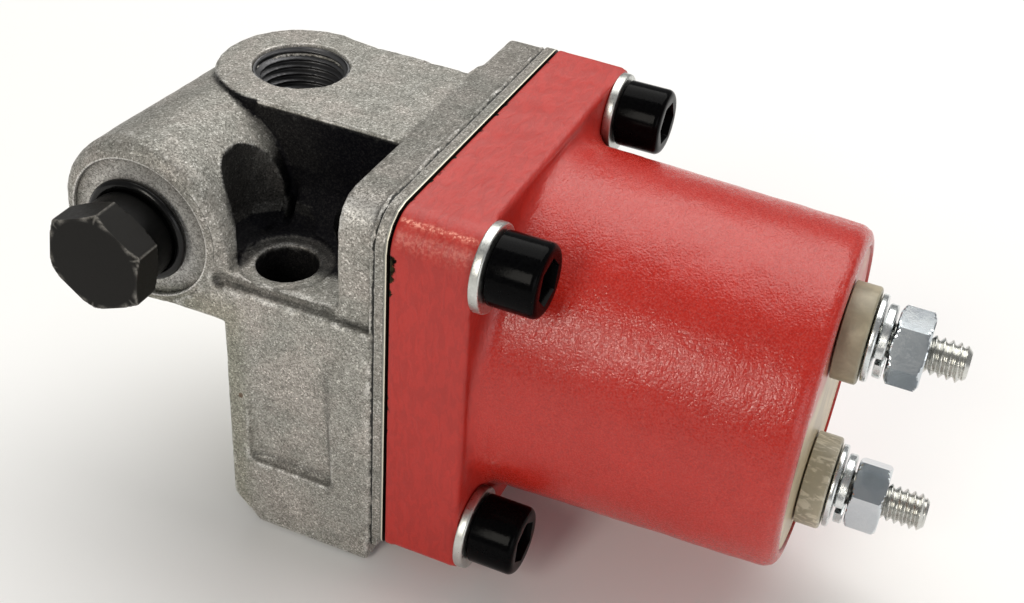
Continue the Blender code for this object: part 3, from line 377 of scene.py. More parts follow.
def grid_object(name, rows, closed=False, sharp=32.0):
    """A mesh object from rings of points, closed round each ring.

    Where closed is set the last ring joins the first. Points that meet are merged, so a ring
    of no radius becomes a pole, and the faces are turned outwards by the sign of the volume.
    """
    nv, nu = rows.shape[:2]
    ids = np.arange(nv * nu).reshape(nv, nu)
    first = ids if closed else ids[:-1]
    second = np.roll(ids, -1, axis=0) if closed else ids[1:]
    quads = np.stack([
        first, np.roll(first, -1, axis=1), np.roll(second, -1, axis=1), second,
    ], axis=-1).reshape(-1, 4)
    pts = rows.reshape(-1, 3)
    a, b, c, d = (pts[quads[:, k]] for k in range(4))
    volume = np.einsum("ij,ij->i", a, np.cross(b, c)).sum()
    volume += np.einsum("ij,ij->i", a, np.cross(c, d)).sum()
    if volume < 0.0:
        quads = quads[:, ::-1]
    mesh = bpy.data.meshes.new(name)
    mesh.from_pydata(pts.tolist(), [], quads.tolist())
    fill_mesh(mesh, [mesh], merge=0.0000002)
    mesh.shade_smooth()
    mesh.set_sharp_from_angle(angle=math.radians(sharp))
    return add_object(name, mesh)


def join_pieces(name, obs):
    """One object from several, so that a screw's head and thread stay one piece."""
    mesh = fill_mesh(bpy.data.meshes.new(name), [ob.data for ob in obs])
    for ob in obs:
        bpy.data.objects.remove(ob, do_unlink=True)
    return add_object(name, mesh)


def paint(ob, finish):
    """Give a new piece or a carried over CAD node one of the finishes."""
    ob.data.materials.clear()
    ob.data.materials.append(FINISH[finish])


def dress(ob, finish, slot, *nodes):
    """Give a piece its finish, its body and the CAD nodes it stands for, which it hides. The slot
    is not used.
    """
    paint(ob, finish)
    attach(ob, FIXED)
    if nodes:
        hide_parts(*nodes)
    return ob


def node_piece(node, rows, finish, slot, **more):
    """A dressed piece from rings of points, which stands for one CAD node."""
    return dress(grid_object(node + "_dress", rows, **more), finish, slot, node)


def turned_ring(node, inner, first, last, finish, slot):
    """A washer or a bush: a turned ring in place of a node, with its outer edges rounded."""
    (a, b), outer = ends(node), half_size(node, 1)
    profile = soften([(inner, a, 0.0), (outer, a, first), (outer, b, last), (inner, b, 0.0)])
    node_piece(node, turned("X", middle(node), profile, 96), finish, slot, closed=True)


# ---- shader nodes ----


class Nodes:
    """Short ways to add nodes to a tree. A value is a socket, a number or a colour."""

    def __init__(self, tree):
        self.tree = tree

    def feed(self, socket, value):
        """Link a value to an input, or write it there."""
        if isinstance(value, bpy.types.NodeSocket):
            self.tree.links.new(value, socket)
        elif socket.type == "RGBA":
            socket.default_value = (*tuple(value)[:3], 1.0)
        else:
            socket.default_value = value

    def node(self, kind, inputs, **settings):
        """A node with its inputs fed, by name or number, and its settings made."""
        node = self.tree.nodes.new("ShaderNode" + kind)
        for name, value in settings.items():
            setattr(node, name, value)
        for name, value in inputs.items():
            self.feed(node.inputs[name], value)
        return node

    def math(self, operation, a, b):
        """A Math node."""
        return self.node("Math", {0: a, 1: b}, operation=operation).outputs[0]

    def mul(self, a, b):
        """The product."""
        return self.math("MULTIPLY", a, b)

    def plus(self, a, b):
        """The sum."""
        return self.math("ADD", a, b)

    def minus(self, a, b):
        """The difference."""
        return self.math("SUBTRACT", a, b)

    def most(self, a, b):
        """The larger of two values."""
        return self.math("MAXIMUM", a, b)

    def noise(self, coord, scale, detail, rough, distort=0.0):
        """A Noise texture. The scale is in cells per metre."""
        return self.node("TexNoise", {
            "Vector": coord, "Scale": scale, "Detail": detail, "Roughness": rough,
            "Distortion": distort,
        }).outputs["Fac"]

    def ramp(self, value, low, high, to_low=0.0, to_high=1.0):
        """A smooth map from one range to another."""
        return self.node("MapRange", {
            "Value": value, "From Min": low, "From Max": high, "To Min": to_low,
            "To Max": to_high,
        }, interpolation_type="SMOOTHSTEP").outputs["Result"]

    def mix(self, fac, a, b, blend="MIX"):
        """A mix of two colours."""
        node = self.tree.nodes.new("ShaderNodeMix")
        node.data_type = "RGBA"
        node.blend_type = blend
        for index, value in ((0, fac), (6, a), (7, b)):
            self.feed(node.inputs[index], value)
        return node.outputs[2]

    def darken(self, fac, a, b):
        """The first colour darkened by the second."""
        return self.mix(fac, a, b, "MULTIPLY")

    def bump(self, height, strength, distance, under=None):
        """A Bump node on a height, over another normal where one is given."""
        inputs = {"Strength": strength, "Distance": distance, "Height": height}
        if under is not None:
            inputs["Normal"] = under
        return self.node("Bump", inputs).outputs["Normal"]

    def coord(self):
        """Object coordinates."""
        return self.node("TexCoord", {}).outputs["Object"]

    def axis(self, axis):
        """One Object coordinate as a number."""
        return self.node("SeparateXYZ", {0: self.coord()}).outputs[axis]

    def number(self, name):
        """A number that the mesh carries for each of its points."""
        return self.node("Attribute", {}, attribute_name=name).outputs["Fac"]

    def stretched(self, size, turn):
        """Object coordinates divided by a size along each axis, after a turn about Z."""
        return self.node("Mapping", {
            "Rotation": (0.0, 0.0, turn), "Scale": tuple(1.0 / v for v in size),
            "Vector": self.coord(),
        }).outputs["Vector"]

    def group(self, name, **values):
        """The outputs of a shared shader group."""
        return self.node("Group", values, node_tree=GROUPS[name]).outputs

    def spots(self, places, fray):
        """Small frayed blots: each is 1 where the distance to its centre, plus a noise, is
        under its radius."""
        coord = self.coord()
        wobble = self.mul(self.minus(self.noise(coord, 900.0, 3.0, 0.7), 0.5), fray)
        total = None
        for place, radius in places:
            away = self.node("VectorMath", {0: coord, 1: place}, operation="DISTANCE")
            away = self.plus(away.outputs["Value"], wobble)
            mask = self.ramp(away, radius * 0.75, radius, 1.0, 0.0)
            total = mask if total is None else self.most(total, mask)
        return total


def new_group(name, inputs, outputs):
    """An empty shader group, with its own inputs and outputs as sockets, all of them numbers."""
    tree = bpy.data.node_groups.new(name, "ShaderNodeTree")
    for label, value in inputs.items():
        socket = tree.interface.new_socket(
            name=label, in_out="INPUT", socket_type="NodeSocketFloat"
        )
        socket.default_value = value
    for label in outputs:
        tree.interface.new_socket(name=label, in_out="OUTPUT", socket_type="NodeSocketFloat")
    source = tree.nodes.new("NodeGroupInput")
    sink = tree.nodes.new("NodeGroupOutput")
    return Nodes(tree), source.outputs, sink.inputs


def grain_group():
    """Salt and pepper grain from two noises and the random values of small cells, and a height."""
    t, source, sink = new_group(
        "metal_grain", {"Size": 0.0004, "Contrast": 0.5}, ("Mask", "Height", "Sparkle")
    )
    coord = t.coord()
    scale = t.math("DIVIDE", 0.62, source["Size"])
    coarse = t.noise(coord, scale, 3.0, 0.72)
    fine = t.noise(coord, t.mul(scale, 2.3), 1.0, 0.5)
    mixed = t.plus(t.mul(coarse, 0.6), t.mul(fine, 0.4))
    cells = t.node("TexVoronoi", {"Vector": coord, "Scale": t.mul(scale, 1.9)})
    cell = t.node("SeparateColor", {0: cells.outputs["Color"]}).outputs
    speck = t.mul(t.minus(cell[0], 0.5), 0.20)
    half = t.mul(t.minus(1.0, source["Contrast"]), 0.30)
    mask = t.ramp(t.plus(mixed, speck), t.minus(0.5, half), t.plus(0.5, half))
    t.feed(sink["Mask"], mask)
    # The sparkle output: rare bright cells, which the casting paints as glints.
    t.feed(sink["Sparkle"], t.ramp(cell[1], 0.90, 0.96))
    t.feed(sink["Height"], mixed)
    return t.tree


def patch_group():
    """Broad uneven patches, such as stains and colour drift, as a mask between 0 and 1."""
    t, source, sink = new_group(
        "broad_patches", {"Size": 0.02, "Low": 0.45, "High": 0.62}, ("Mask",)
    )
    wave = t.noise(t.coord(), t.math("DIVIDE", 1.0, source["Size"]), 4.0, 0.6, 0.4)
    t.feed(sink["Mask"], t.ramp(wave, source["Low"], source["High"]))
    return t.tree


def new_material(name, color, metallic, roughness):
    """A material with its node maker and the inputs of its Principled shader."""
    mat = bpy.data.materials.new(name)
    mat.use_nodes = True
    t = Nodes(mat.node_tree)
    shader = mat.node_tree.nodes["Principled BSDF"].inputs
    for label, value in (("Base Color", color), ("Metallic", metallic), ("Roughness", roughness)):
        t.feed(shader[label], value)
    return mat, t, shader


def cast_iron_material():
    """Grey sand casting: grain with painted glints, drift, tool lines, edges lightened as wear and
    painted highlight, painted shade by facing and in hollows, a pocket painted black as shade, and
    rust.
    """
    p = bpy.context.scene.solenoid_casting
    mat, t, shader = new_material("cast_iron_skin", (0.3, 0.3, 0.27), 0.4, 0.5)
    shader["Specular IOR Level"].default_value = 0.20
    x, z = t.axis("X"), t.axis("Z")
    grain = t.group("grain", Size=p.grain, Contrast=0.15)
    coarse = t.group("grain", Size=p.grain * 4.0, Contrast=0.0)
    drift = t.group("patch", Size=0.011, Low=0.38, High=0.66)["Mask"]
    smudge = t.group("patch", Size=0.0024, Low=0.42, High=0.62)["Mask"]
    color = t.mix(grain["Mask"], p.dark, p.light)
    # Painted glints: rare bright cells lightened towards white.
    color = t.mix(t.mul(grain["Sparkle"], 0.75), color, (1.0, 0.99, 0.96))
    color = t.darken(1.0, color, t.mix(drift, (0.85, 0.85, 0.825), (1.0, 0.955, 0.93)))
    color = t.darken(t.mul(smudge, 0.8), color, (0.80, 0.80, 0.79))
    green = t.mul(t.ramp(x, -0.0055, -0.0012, 1.0, 0.0), t.ramp(z, 0.0440, 0.0490, 1.0, 0.0))
    color = t.darken(green, color, (0.84, 0.85, 0.78))
    color = t.darken(t.mul(coarse["Mask"], 0.35), color, (0.62, 0.63, 0.62))
    # Painted shade by facing: tops, the boss and the shelf's front face darker.
    color = t.darken(t.number("level"), color, (0.53, 0.53, 0.525))
    lines = t.noise(t.stretched((0.00022, 0.009, 0.002), 0.12), 1.0, 3.0, 0.6)
    scratch = t.mul(t.mul(t.ramp(lines, 0.60, 0.72), t.number("top")), 0.30)
    color = t.mix(scratch, color, (0.60, 0.60, 0.58))
    # Edges lightened, partly as wear and partly as painted highlight; the front corner's part is
    # all painted highlight.
    edge = t.mul(t.number("edge"), t.ramp(grain["Mask"], 0.0, 1.0, 0.25, 1.0))
    color = t.mix(t.mul(edge, 0.85), color, (1.0, 0.985, 0.95))
    # Painted shade in the groove behind the rim: the dark line wanders and thins out with one
    # noise.
    wander = t.noise(t.coord(), 520.0, 3.0, 0.65)
    offset = t.mul(t.minus(wander, 0.5), 0.0011)
    away = t.math("ABSOLUTE", t.plus(t.minus(x, RIM_LEFT - 0.00030), offset), 0.0)
    gap = t.mul(t.ramp(away, 0.00012, 0.00034, 1.0, 0.0), t.number("ring"))
    gap = t.mul(gap, t.ramp(wander, 0.30, 0.46, 0.35, 1.0))
    # Painted shade in creases, at the panel's edges and in that groove, mixed towards near black.
    hollow = t.most(t.mul(t.number("hollow"), 0.75), gap)
    color = t.mix(hollow, color, (0.030, 0.030, 0.028))
    # Painted shade: the pocket round the front bolt goes near black.
    soot = t.mul(t.number("soot"), t.ramp(grain["Mask"], 0.3, 1.0, 1.0, 0.97))
    color = t.mix(soot, color, (0.0070, 0.0070, 0.0100))
    rust = t.spots((((-0.0041, -0.0330, 0.0279), 0.0006),), 0.0009)
    color = t.mix(t.mul(rust, 0.75), color, (0.115, 0.058, 0.030))
    t.feed(shader["Base Color"], color)
    # With the painted shade the pocket turns metallic on a black base, so it reflects almost
    # nothing.
    t.feed(shader["Metallic"], t.ramp(soot, 0.0, 0.9, 0.4, 1.0))
    rough = t.ramp(grain["Mask"], 0.0, 1.0, 0.64, 0.36)
    t.feed(shader["Roughness"], t.most(rough, t.mul(soot, 0.75)))
    skin = t.bump(t.noise(t.coord(), 620.0, 3.0, 0.6), 0.35, 0.0003)
    t.feed(shader["Normal"], t.bump(grain["Height"], 0.7, 0.00012, skin))
    return mat


def enamel_material():
    """Glossy red enamel: sparkling orange peel on the pot with painted glints and shade, soft
    wrinkles on the flange with painted shade, a painted shadow along the seam, a painted highlight
    on the front corner, and chips.
    """
    p = bpy.context.scene.solenoid_enamel
    mat, t, shader = new_material("red_enamel_coat", p.red, 0.0, 0.30)
    shader["Specular IOR Level"].default_value = 0.50
    coord = t.coord()
    x = t.axis("X")
    seam = ends("solenoid_housing")[0]
    root = (seam + p.flange - 0.0005, seam + p.flange + 0.003)
    on_pot = t.ramp(x, *root, 0.22, 1.0)
    peel = t.noise(coord, 2700.0, 1.0, 0.5)
    both = t.plus(peel, t.mul(t.noise(coord, 4800.0, 1.0, 0.5), 0.3))
    skin = t.bump(t.mul(both, on_pot), 0.60, 0.00012)
    wrinkle = t.noise(t.stretched((0.0010, 0.0030, 0.0030), 0.3), 1.0, 3.0, 0.55, 0.8)
    t.feed(shader["Normal"], t.bump(wrinkle, 0.55, 0.00022, skin))
    uneven = t.ramp(t.noise(coord, 3300.0, 1.0, 0.5), 0.42, 0.60, 0.0, 0.26)
    t.feed(shader["Roughness"], t.plus(t.ramp(x, *root, 0.40, 0.13), t.mul(uneven, on_pot)))
    patches = t.group("patch", Size=0.012, Low=0.35, High=0.7)["Mask"]
    color = t.mix(patches, tuple(c * 0.93 for c in p.red), p.red)
    # Painted shade in the dips of the orange peel.
    peel_pit_shade = t.mul(t.ramp(peel, 0.46, 0.34), on_pot)
    color = t.darken(t.mul(peel_pit_shade, 0.30), color, (0.55, 0.30, 0.30))
    # Painted glints: the crests of the orange peel turn a lighter orange.
    crests = t.mul(t.ramp(peel, 0.56, 0.66, 0.0, 0.09), on_pot)
    color = t.mix(crests, color, (0.85, 0.16, 0.11))
    shadow = t.ramp(x, seam + 0.00010, seam + 0.00034, 0.9, 0.0)
    color = t.mix(shadow, color, (0.060, 0.006, 0.004))
    # Painted highlight: a speckled orange line along the flange's rounded front top corner.
    speck = t.ramp(t.noise(coord, 1900.0, 2.0, 0.6), 0.42, 0.62, 0.15, 1.0)
    color = t.mix(t.mul(t.number("streak"), speck), color, (1.0, 0.42, 0.32))
    # Painted shade in the flange's wrinkles.
    wrinkle_shade = t.mul(t.minus(1.0, on_pot), t.ramp(wrinkle, 0.42, 0.60, 0.0, 0.50))
    color = t.darken(wrinkle_shade, color, (0.68, 0.56, 0.56))
    # Chips: small ones by chance along the seam, and named ones, all filled with dark oil.
    spots = t.ramp(t.noise(coord, 210.0, 3.0, 0.7), 0.60, 0.64)
    chip = t.mul(t.ramp(x, seam + 0.0002, seam + 0.0009, 1.0, 0.0), spots)
    chip = t.most(chip, t.spots((
        ((0.0228, -0.0328, 0.0641), 0.0013), ((0.0227, -0.0328, 0.0625), 0.0014),
        ((0.0227, -0.0328, 0.0610), 0.0011), ((0.0228, -0.0329, 0.0583), 0.0008),
        ((0.0228, -0.0329, 0.0381), 0.0006), ((0.0228, -0.0329, 0.0311), 0.0005),
        ((0.0229, -0.0200, 0.0709), 0.0006), ((0.0229, -0.0120, 0.0709), 0.0005),
        ((0.0229, -0.0262, 0.0709), 0.0006), ((0.0229, 0.0040, 0.0709), 0.0005),
    ), 0.0014))
    oily = t.ramp(t.noise(coord, 700.0, 2.0, 0.6), 0.45, 0.62)
    color = t.mix(chip, color, t.mix(oily, (0.002, 0.0015, 0.001), (0.030, 0.028, 0.012)))
    t.feed(shader["Metallic"], t.ramp(t.most(chip, shadow), 0.0, 1.0))
    t.feed(shader["Base Color"], color)
    return mat


def metal_material(name, color, roughness, grain, depth, tint=None):
    """Bare or plated metal with a fine uneven grain and a broad colour drift."""
    mat, t, shader = new_material(name, color, 1.0, roughness)
    mask = t.group("grain", Size=grain, Contrast=0.0)
    drift = t.group("patch", Size=0.006, Low=0.38, High=0.68)["Mask"]
    base = t.mix(drift, color, tint or tuple(c * 0.82 for c in color))
    dark = tuple(c * 0.7 for c in color)
    t.feed(shader["Base Color"], t.mix(t.mul(mask["Mask"], 0.35), base, dark))
    spread = (roughness * 0.8, min(roughness * 1.35, 1.0))
    t.feed(shader["Roughness"], t.ramp(mask["Mask"], 0.0, 1.0, *spread))
    t.feed(shader["Normal"], t.bump(mask["Height"], 0.25, depth))
    return mat


def plate_material():
    """The plate in the seam: dull grey, with a pale bright line along its housing side."""
    mat, t, shader = new_material("plate_edge", (0.3, 0.3, 0.28), 0.5, 0.5)
    high = ends("fuel_shield")[1]
    x = t.axis("X")
    grain = t.group("grain", Size=0.0004, Contrast=0.0)
    base = t.mix(grain["Mask"], (0.20, 0.20, 0.18), (0.32, 0.32, 0.29))
    base = t.mix(t.ramp(x, high - 0.00026, high - 0.00020), base, (0.85, 0.80, 0.66))
    # Painted shadow: the plate's very edge by the housing goes near black.
    side = t.ramp(x, high - 0.00006, high - 0.00003)
    t.feed(shader["Base Color"], t.mix(side, base, (0.030, 0.020, 0.014)))
    t.feed(shader["Normal"], t.bump(grain["Height"], 0.3, 0.00005))
    return mat


def black_oxide_material(name, color, roughness, gloss, worn=None, neck=None):
    """Black oxide steel: deep black with faint mottling, and a worn colour on its edges.

    Behind the place neck along Y it is near black.
    """
    mat, t, shader = new_material(name, color, 0.0, roughness)
    shader["Specular IOR Level"].default_value = gloss
    grain = t.group("grain", Size=0.0004, Contrast=0.1)
    light = tuple(min(1.0, c * 1.8 + 0.003) for c in color)
    base = t.mix(t.mul(grain["Mask"], 0.4), color, light)
    if neck is not None:
        base = t.mix(t.ramp(t.axis("Y"), neck, neck + 0.0006), base, (0.002, 0.002, 0.002))
    if worn:
        rubbed = t.mul(t.number("edge"), t.ramp(grain["Mask"], 0.0, 0.8, 0.35, 1.0))
        base = t.mix(rubbed, base, worn)
    t.feed(shader["Base Color"], base)
    t.feed(shader["Roughness"], t.ramp(grain["Mask"], 0.0, 1.0, roughness, roughness * 1.3))
    t.feed(shader["Normal"], t.bump(grain["Height"], 0.25, 0.00006))
    return mat


def plastic_material(name, color, roughness, size, depth, cover=None):
    """Moulded or turned plastic with a faint mottle, and a mask with its colour over it."""
    mat, t, shader = new_material(name, color, 0.0, roughness)
    mottle = t.group("patch", Size=size, Low=0.35, High=0.68)["Mask"]
    base = t.mix(mottle, tuple(c * 0.68 for c in color), color)
    if cover:
        mask, over = cover(t)
        base = t.mix(mask, base, over)
    t.feed(shader["Base Color"], base)
    fine = t.group("grain", Size=size * 0.12, Contrast=0.0)
    t.feed(shader["Normal"], t.bump(fine["Height"], 0.4, depth))
    return mat


def bush_scratches(t):
    """Pale scratches across the lower bush."""
    lines = t.noise(t.stretched((0.0022, 0.0006, 0.0018), 0.5), 1.0, 3.0, 0.6, 0.6)
    lower = t.ramp(t.axis("Z"), 0.0350, 0.0360, 0.72, 0.0)
    return t.mul(t.ramp(lines, 0.50, 0.64, 0.30, 1.0), lower), (0.80, 0.74, 0.60)


def red_haze(t):
    """A little red along the upper rim of the potting."""
    haze = t.ramp(t.noise(t.coord(), 260.0, 3.0, 0.6), 0.30, 0.60, 0.55, 1.0)
    return t.mul(t.ramp(t.axis("Z"), 0.0430, 0.0480), haze), (0.50, 0.060, 0.045)


def make_finishes():
    """Build every shader group and material once."""
    GROUPS["grain"] = grain_group()
    GROUPS["patch"] = patch_group()
    FINISH["cast"] = cast_iron_material()
    FINISH["red"] = enamel_material()
    FINISH["plate"] = plate_material()
    for key, *values in (
        # name, colour, roughness, grain size, bump height, colour it drifts to
        ("thread", "bored_iron", (0.12, 0.12, 0.125), 0.42, 0.0003, 0.00014),
        ("zinc", "zinc_plating", (0.76, 0.78, 0.78), 0.22, 0.0004, 0.00002, (0.66, 0.71, 0.72)),
        ("washer", "washer_plating", (0.66, 0.67, 0.64), 0.33, 0.0004, 0.00003),
        ("nut", "nut_plating", (0.68, 0.72, 0.75), 0.12, 0.0002, 0.00002, (0.60, 0.65, 0.69)),
        ("steel", "stud_steel", (0.66, 0.66, 0.63), 0.25, 0.0004, 0.00004),
        ("iron", "soft_iron", (0.36, 0.36, 0.37), 0.40, 0.0006, 0.00006),
        ("spring", "spring_steel", (0.32, 0.33, 0.36), 0.32, 0.0005, 0.00004),
        ("copper", "copper_wire", (0.60, 0.24, 0.10), 0.34, 0.0004, 0.0001),
    ):
        FINISH[key] = metal_material(*values)
    for key, *values in (
        # name, colour, roughness, gloss, worn colour, where the near black neck begins
        ("black", "black_screw", (0.0008, 0.0008, 0.0010), 0.13, 0.035, (0.010, 0.010, 0.010)),
        ("plug", "brown_black_plug", (0.0052, 0.0046, 0.0038), 0.34, 0.10,
         (0.22, 0.21, 0.19), -0.0392),
        ("rubber", "oily_rubber", (0.002, 0.002, 0.002), 0.20, 0.25),
    ):
        FINISH[key] = black_oxide_material(*values)
    for key, *values in (
        # name, colour, roughness, mottle size, bump height, what lies over it
        ("olive", "olive_phenolic", (0.37, 0.33, 0.23), 0.42, 0.004, 0.00008, bush_scratches),
        ("resin", "cream_resin", (0.62, 0.50, 0.32), 0.35, 0.008, 0.0001, red_haze),
        ("nylon", "natural_nylon", (0.66, 0.63, 0.54), 0.45, 0.01, 0.00006),
    ):
        FINISH[key] = plastic_material(*values)


# ---- casting ----


def true_round(points, axis, centre, radius, low, high, arc=None, slack=0.0003):
    """Move points that lie close to a turned face onto it.

    A point whose place along the axis is between low and high, and whose distance from the
    axis is within slack of the radius, gets exactly that radius. The radius may change
    linearly from low to high.
    """
    i, j, k = ORDER[axis]
    u = points[:, i] - centre[0]
    v = points[:, j] - centre[1]
    h = points[:, k]
    share = np.clip((h - low) / (high - low), 0.0, 1.0)
    target = radius[0] + (radius[1] - radius[0]) * share
    r = np.hypot(u, v)
    near = between(h, low, high) & (np.abs(r - target) < slack)
    if arc is not None:
        angle = np.degrees(np.arctan2(v, u))
        near &= np.mod(angle - arc[0], 360.0) < arc[1] - arc[0]
    scale = np.where(near, target / np.maximum(r, 1e-9), 1.0)
    points[:, i] = centre[0] + u * scale
    points[:, j] = centre[1] + v * scale
    return near


def bulge(mesh, passes):
    """How far each point stands out from the middle of its neighbours, over the edge length.

    It is positive on outer edges and negative in hollows. Each pass takes the mean with the
    neighbours once more.
    """
    count = len(mesh.vertices)
    pairs = np.empty(len(mesh.edges) * 2, dtype=np.int64)
    mesh.edges.foreach_get("vertices", pairs)
    first, second = pairs.reshape(-1, 2).T
    co = get_points(mesh)
    normal = get_points(mesh, "normal")
    degree = np.bincount(first, minlength=count) + np.bincount(second, minlength=count)
    degree = np.maximum(degree, 1)

    def around(values):
        to_first = np.bincount(first, values[second], count)
        return (to_first + np.bincount(second, values[first], count)) / degree

    edge = np.linalg.norm(co[first] - co[second], axis=1).mean()
    centre = np.stack([around(co[:, k]) for k in range(3)], axis=-1)
    out = np.einsum("ij,ij->i", co - centre, normal) / edge
    for _ in range(passes):
        out = (out + around(out)) / 2.0
    return out


def apply_modifiers(ob):
    """Put the result of an object's modifiers in its mesh."""
    graph = bpy.context.evaluated_depsgraph_get()
    mesh = bpy.data.meshes.new_from_object(ob.evaluated_get(graph))
    ob.modifiers.clear()
    ob.data = mesh
    return mesh


def pocket_shade_share(co, normal):
    """How much painted shade each point of the casting gets: the pocket round the front bolt is
    unlit.

    Walls in the pocket are black, its fillet and floor less so, and everything outside gets none.
    """
    x, y, z = co.T
    left, right, front, rear = -0.0140, 0.0136, -0.0292, -0.0100
    inside = step(x, left, left + 0.0008) * step(right - x, 0.0, 0.0004)
    inside *= step(y, front, front + 0.0012) * step(rear - y, 0.0, 0.0004)

    # The walls, a little blacker to the right, and the fillet and floor between them.
    upright = 1.0 - step(normal[:, 2], 0.35, 0.62)
    under_edge = step(ARM_TOP + 0.0002 - z, 0.0, 0.0004)
    wall = inside * upright * step(z, SHELF_TOP + 0.0006, SHELF_TOP + 0.0018) * under_edge
    wall *= 0.935 + 0.060 * step(x, -0.0080, 0.0040)
    fillet = inside * step(y, -0.0200, -0.0182) * step(0.0610 - z, 0.0, 0.0010)
    fillet *= step(z, SHELF_TOP + 0.0001, SHELF_TOP + 0.0005)
    behind = step(y, -0.0262, -0.0232)
    beside = step(-x, 0.0046, 0.0062) * step(y, -0.0300, -0.0290)
    floor = inside * np.maximum(behind, beside)
    floor *= step(z, SHELF_TOP - 0.0002, SHELF_TOP + 0.0004) * step(0.0536 - z, 0.0, 0.0010)

    # The arm's round end where it looks forward, and the bolt's hole.
    reach = np.hypot(x - PORT[0], y - PORT[1])
    end = (np.abs(reach - ARM_R) < 0.0008) & (x <= -0.0130) & between(z, 0.0560, ARM_TOP + 0.0004)
    round_end = np.where(end, step(-normal[:, 1], 0.35, 0.75), 0.0)
    from_bolt = np.hypot(x, y + BOLT_Y)
    hole = (from_bolt < BOLT_HOLE_R + 0.0002) & (z < SHELF_TOP)
    share = np.maximum.reduce([wall, fillet * 0.98, floor * 0.96, round_end * 0.97, hole * 0.95])

    # The bolt's seat and the scallop in the rear wall catch some light.
    seat = (from_bolt < SPOT_FACE_R - 0.0002)
    seat &= between(z, SHELF_TOP - 0.0002, SHELF_TOP + 0.0010)
    share = np.where(seat, share * 0.80, share)
    away = np.hypot(x - SCALLOP[0], y - SCALLOP[1])
    scallop = (np.abs(away - SCALLOP_R) < 0.0006) & (wall > 0.5)
    return np.where(scallop, share * (0.94 - 0.15 * step(-x, 0.0050, 0.0068)), share)


def even_rear(co):
    """The Y of each point after the arm's rear edge has been brought to one even line.

    The widest Y in each narrow slice along X is found first. Each point then keeps its share of
    the way from a fixed depth to the edge, and the edge lies on the line. The change fades out
    below the arm.
    """
    x, y, z = co.T
    start, end, wide, cells = -0.0128, 0.0127, 0.0005, 51
    inner, bottom, near_top, least = 0.0080, 0.0580, 0.0660, 0.0110
    line = (-0.0133, -0.0106, -0.0040, 0.0125), (0.0180, 0.0173, 0.0162, 0.0163)
    zone = between(x, start, end) & (z > bottom) & (y > inner)
    cell = np.clip(((x - start) / wide).astype(int), 0, cells - 1)
    widest = np.zeros(cells)
    top = zone & (z > near_top)
    np.maximum.at(widest, cell[top], y[top])
    centres = start + (np.arange(cells) + 0.5) * wide
    widest = np.where(widest > least, widest, np.interp(centres, *line))
    share = (y - inner) / (np.interp(x, centres, widest) - inner)
    moved = inner + share * (np.interp(x, *line) - inner)
    return np.where(zone, y + (moved - y) * step(z, bottom, 0.0600), y)


def painted_shade_share(co, normal):
    """How much painted shade each point gets, darker than the front: the flange's top most, the
    arm's top less, and the shelf's front face as much as the flange's top."""
    x, y, z = co.T
    slab = (y < -0.0308) & between(x, BOSS_RIGHT, FLANGE_LEFT)
    slab &= between(z, SHELF_TOP - 0.0011, SHELF_TOP + 0.0006)
    level = step(normal[:, 2], 0.2, 0.9) * np.where(x > FLANGE_LEFT, 1.0, 0.45)
    # Painted shade on the boss, deepest on its faces that look down.
    boss = (np.hypot(x - BOSS[0], z - BOSS[1]) < 0.0156) & (x < BOSS_RIGHT)
    level = np.where(boss, level + 0.12 + 0.45 * step(-normal[:, 2], -0.1, 0.5), level)
    return np.where(slab, 1.0, level)


def glare_share(co):
    """Painted highlight on the flange's rounded front corner, by the angle round that corner."""
    u, v = -(co[:, 1] - CORNER[0]), co[:, 2] - CORNER[1]
    on_corner = (co[:, 0] > 0.0128) & (np.abs(np.hypot(v, u) - CORNER_R) < 0.0006)
    return np.where(on_corner, 0.65 * bell(np.degrees(np.arctan2(v, u)), 42.0, 22.0), 0.0)


def hollow_shade_share(co, stand):
    """Painted shade in hollows: creases of the skin, and the panel's two edges that lie in shade.
    """
    x, y, z = co.T
    panel_low, panel_right = 0.0146, 0.0121
    crease = np.clip((-stand - 0.025) / 0.09, 0.0, 1.0)
    panel = (y < -0.0305) & between(z, 0.0120, 0.0425) & between(x, -0.0062, 0.0129)
    low = bell(z, panel_low, 0.00085) * step(x, -0.0036, -0.0026)
    right = bell(x, panel_right, 0.00055) * step(0.0420 - z, 0.0, 0.0030)
    rough = 0.75 + 0.35 * value_noise(co, 0.0011, 8.0)
    return np.clip(np.where(panel, np.maximum(low, right) * rough * 0.75, crease), 0.0, 1.0)


def from_middle(co):
    """Distance from the coil axis, measured as a square has it: the larger of the two sides."""
    return np.maximum(np.abs(co[:, 1]), np.abs(co[:, 2] - AXIS_Z))


def even_skin(p):
    """The casting's CAD solid as an even skin.

    The solid is rebuilt on a fine lattice and drawn back onto its own faces, so that its edges
    stay crisp.
    """
    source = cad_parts["valve_body"].data
    mesh = fill_mesh(bpy.data.meshes.new("casting_core"), [source], merge=0.000002)
    core = add_object("casting_core", mesh)
    ob = add_object("valve_body_casting", mesh.copy())
    for name, kind, settings in (
        ("skin", "REMESH", {"mode": "VOXEL", "voxel_size": p.voxel}),
        ("soften", "SMOOTH", {"factor": 0.5, "iterations": 3}),
        ("draw_back", "SHRINKWRAP", {"target": core, "wrap_method": "NEAREST_SURFACEPOINT"}),
        ("soften_edges", "SMOOTH", {"factor": 0.5, "iterations": p.smoothing}),
    ):
        modifier = ob.modifiers.new(name, kind)
        for key, value in settings.items():
            setattr(modifier, key, value)
    apply_modifiers(ob)
    bpy.data.objects.remove(core, do_unlink=True)
    return ob


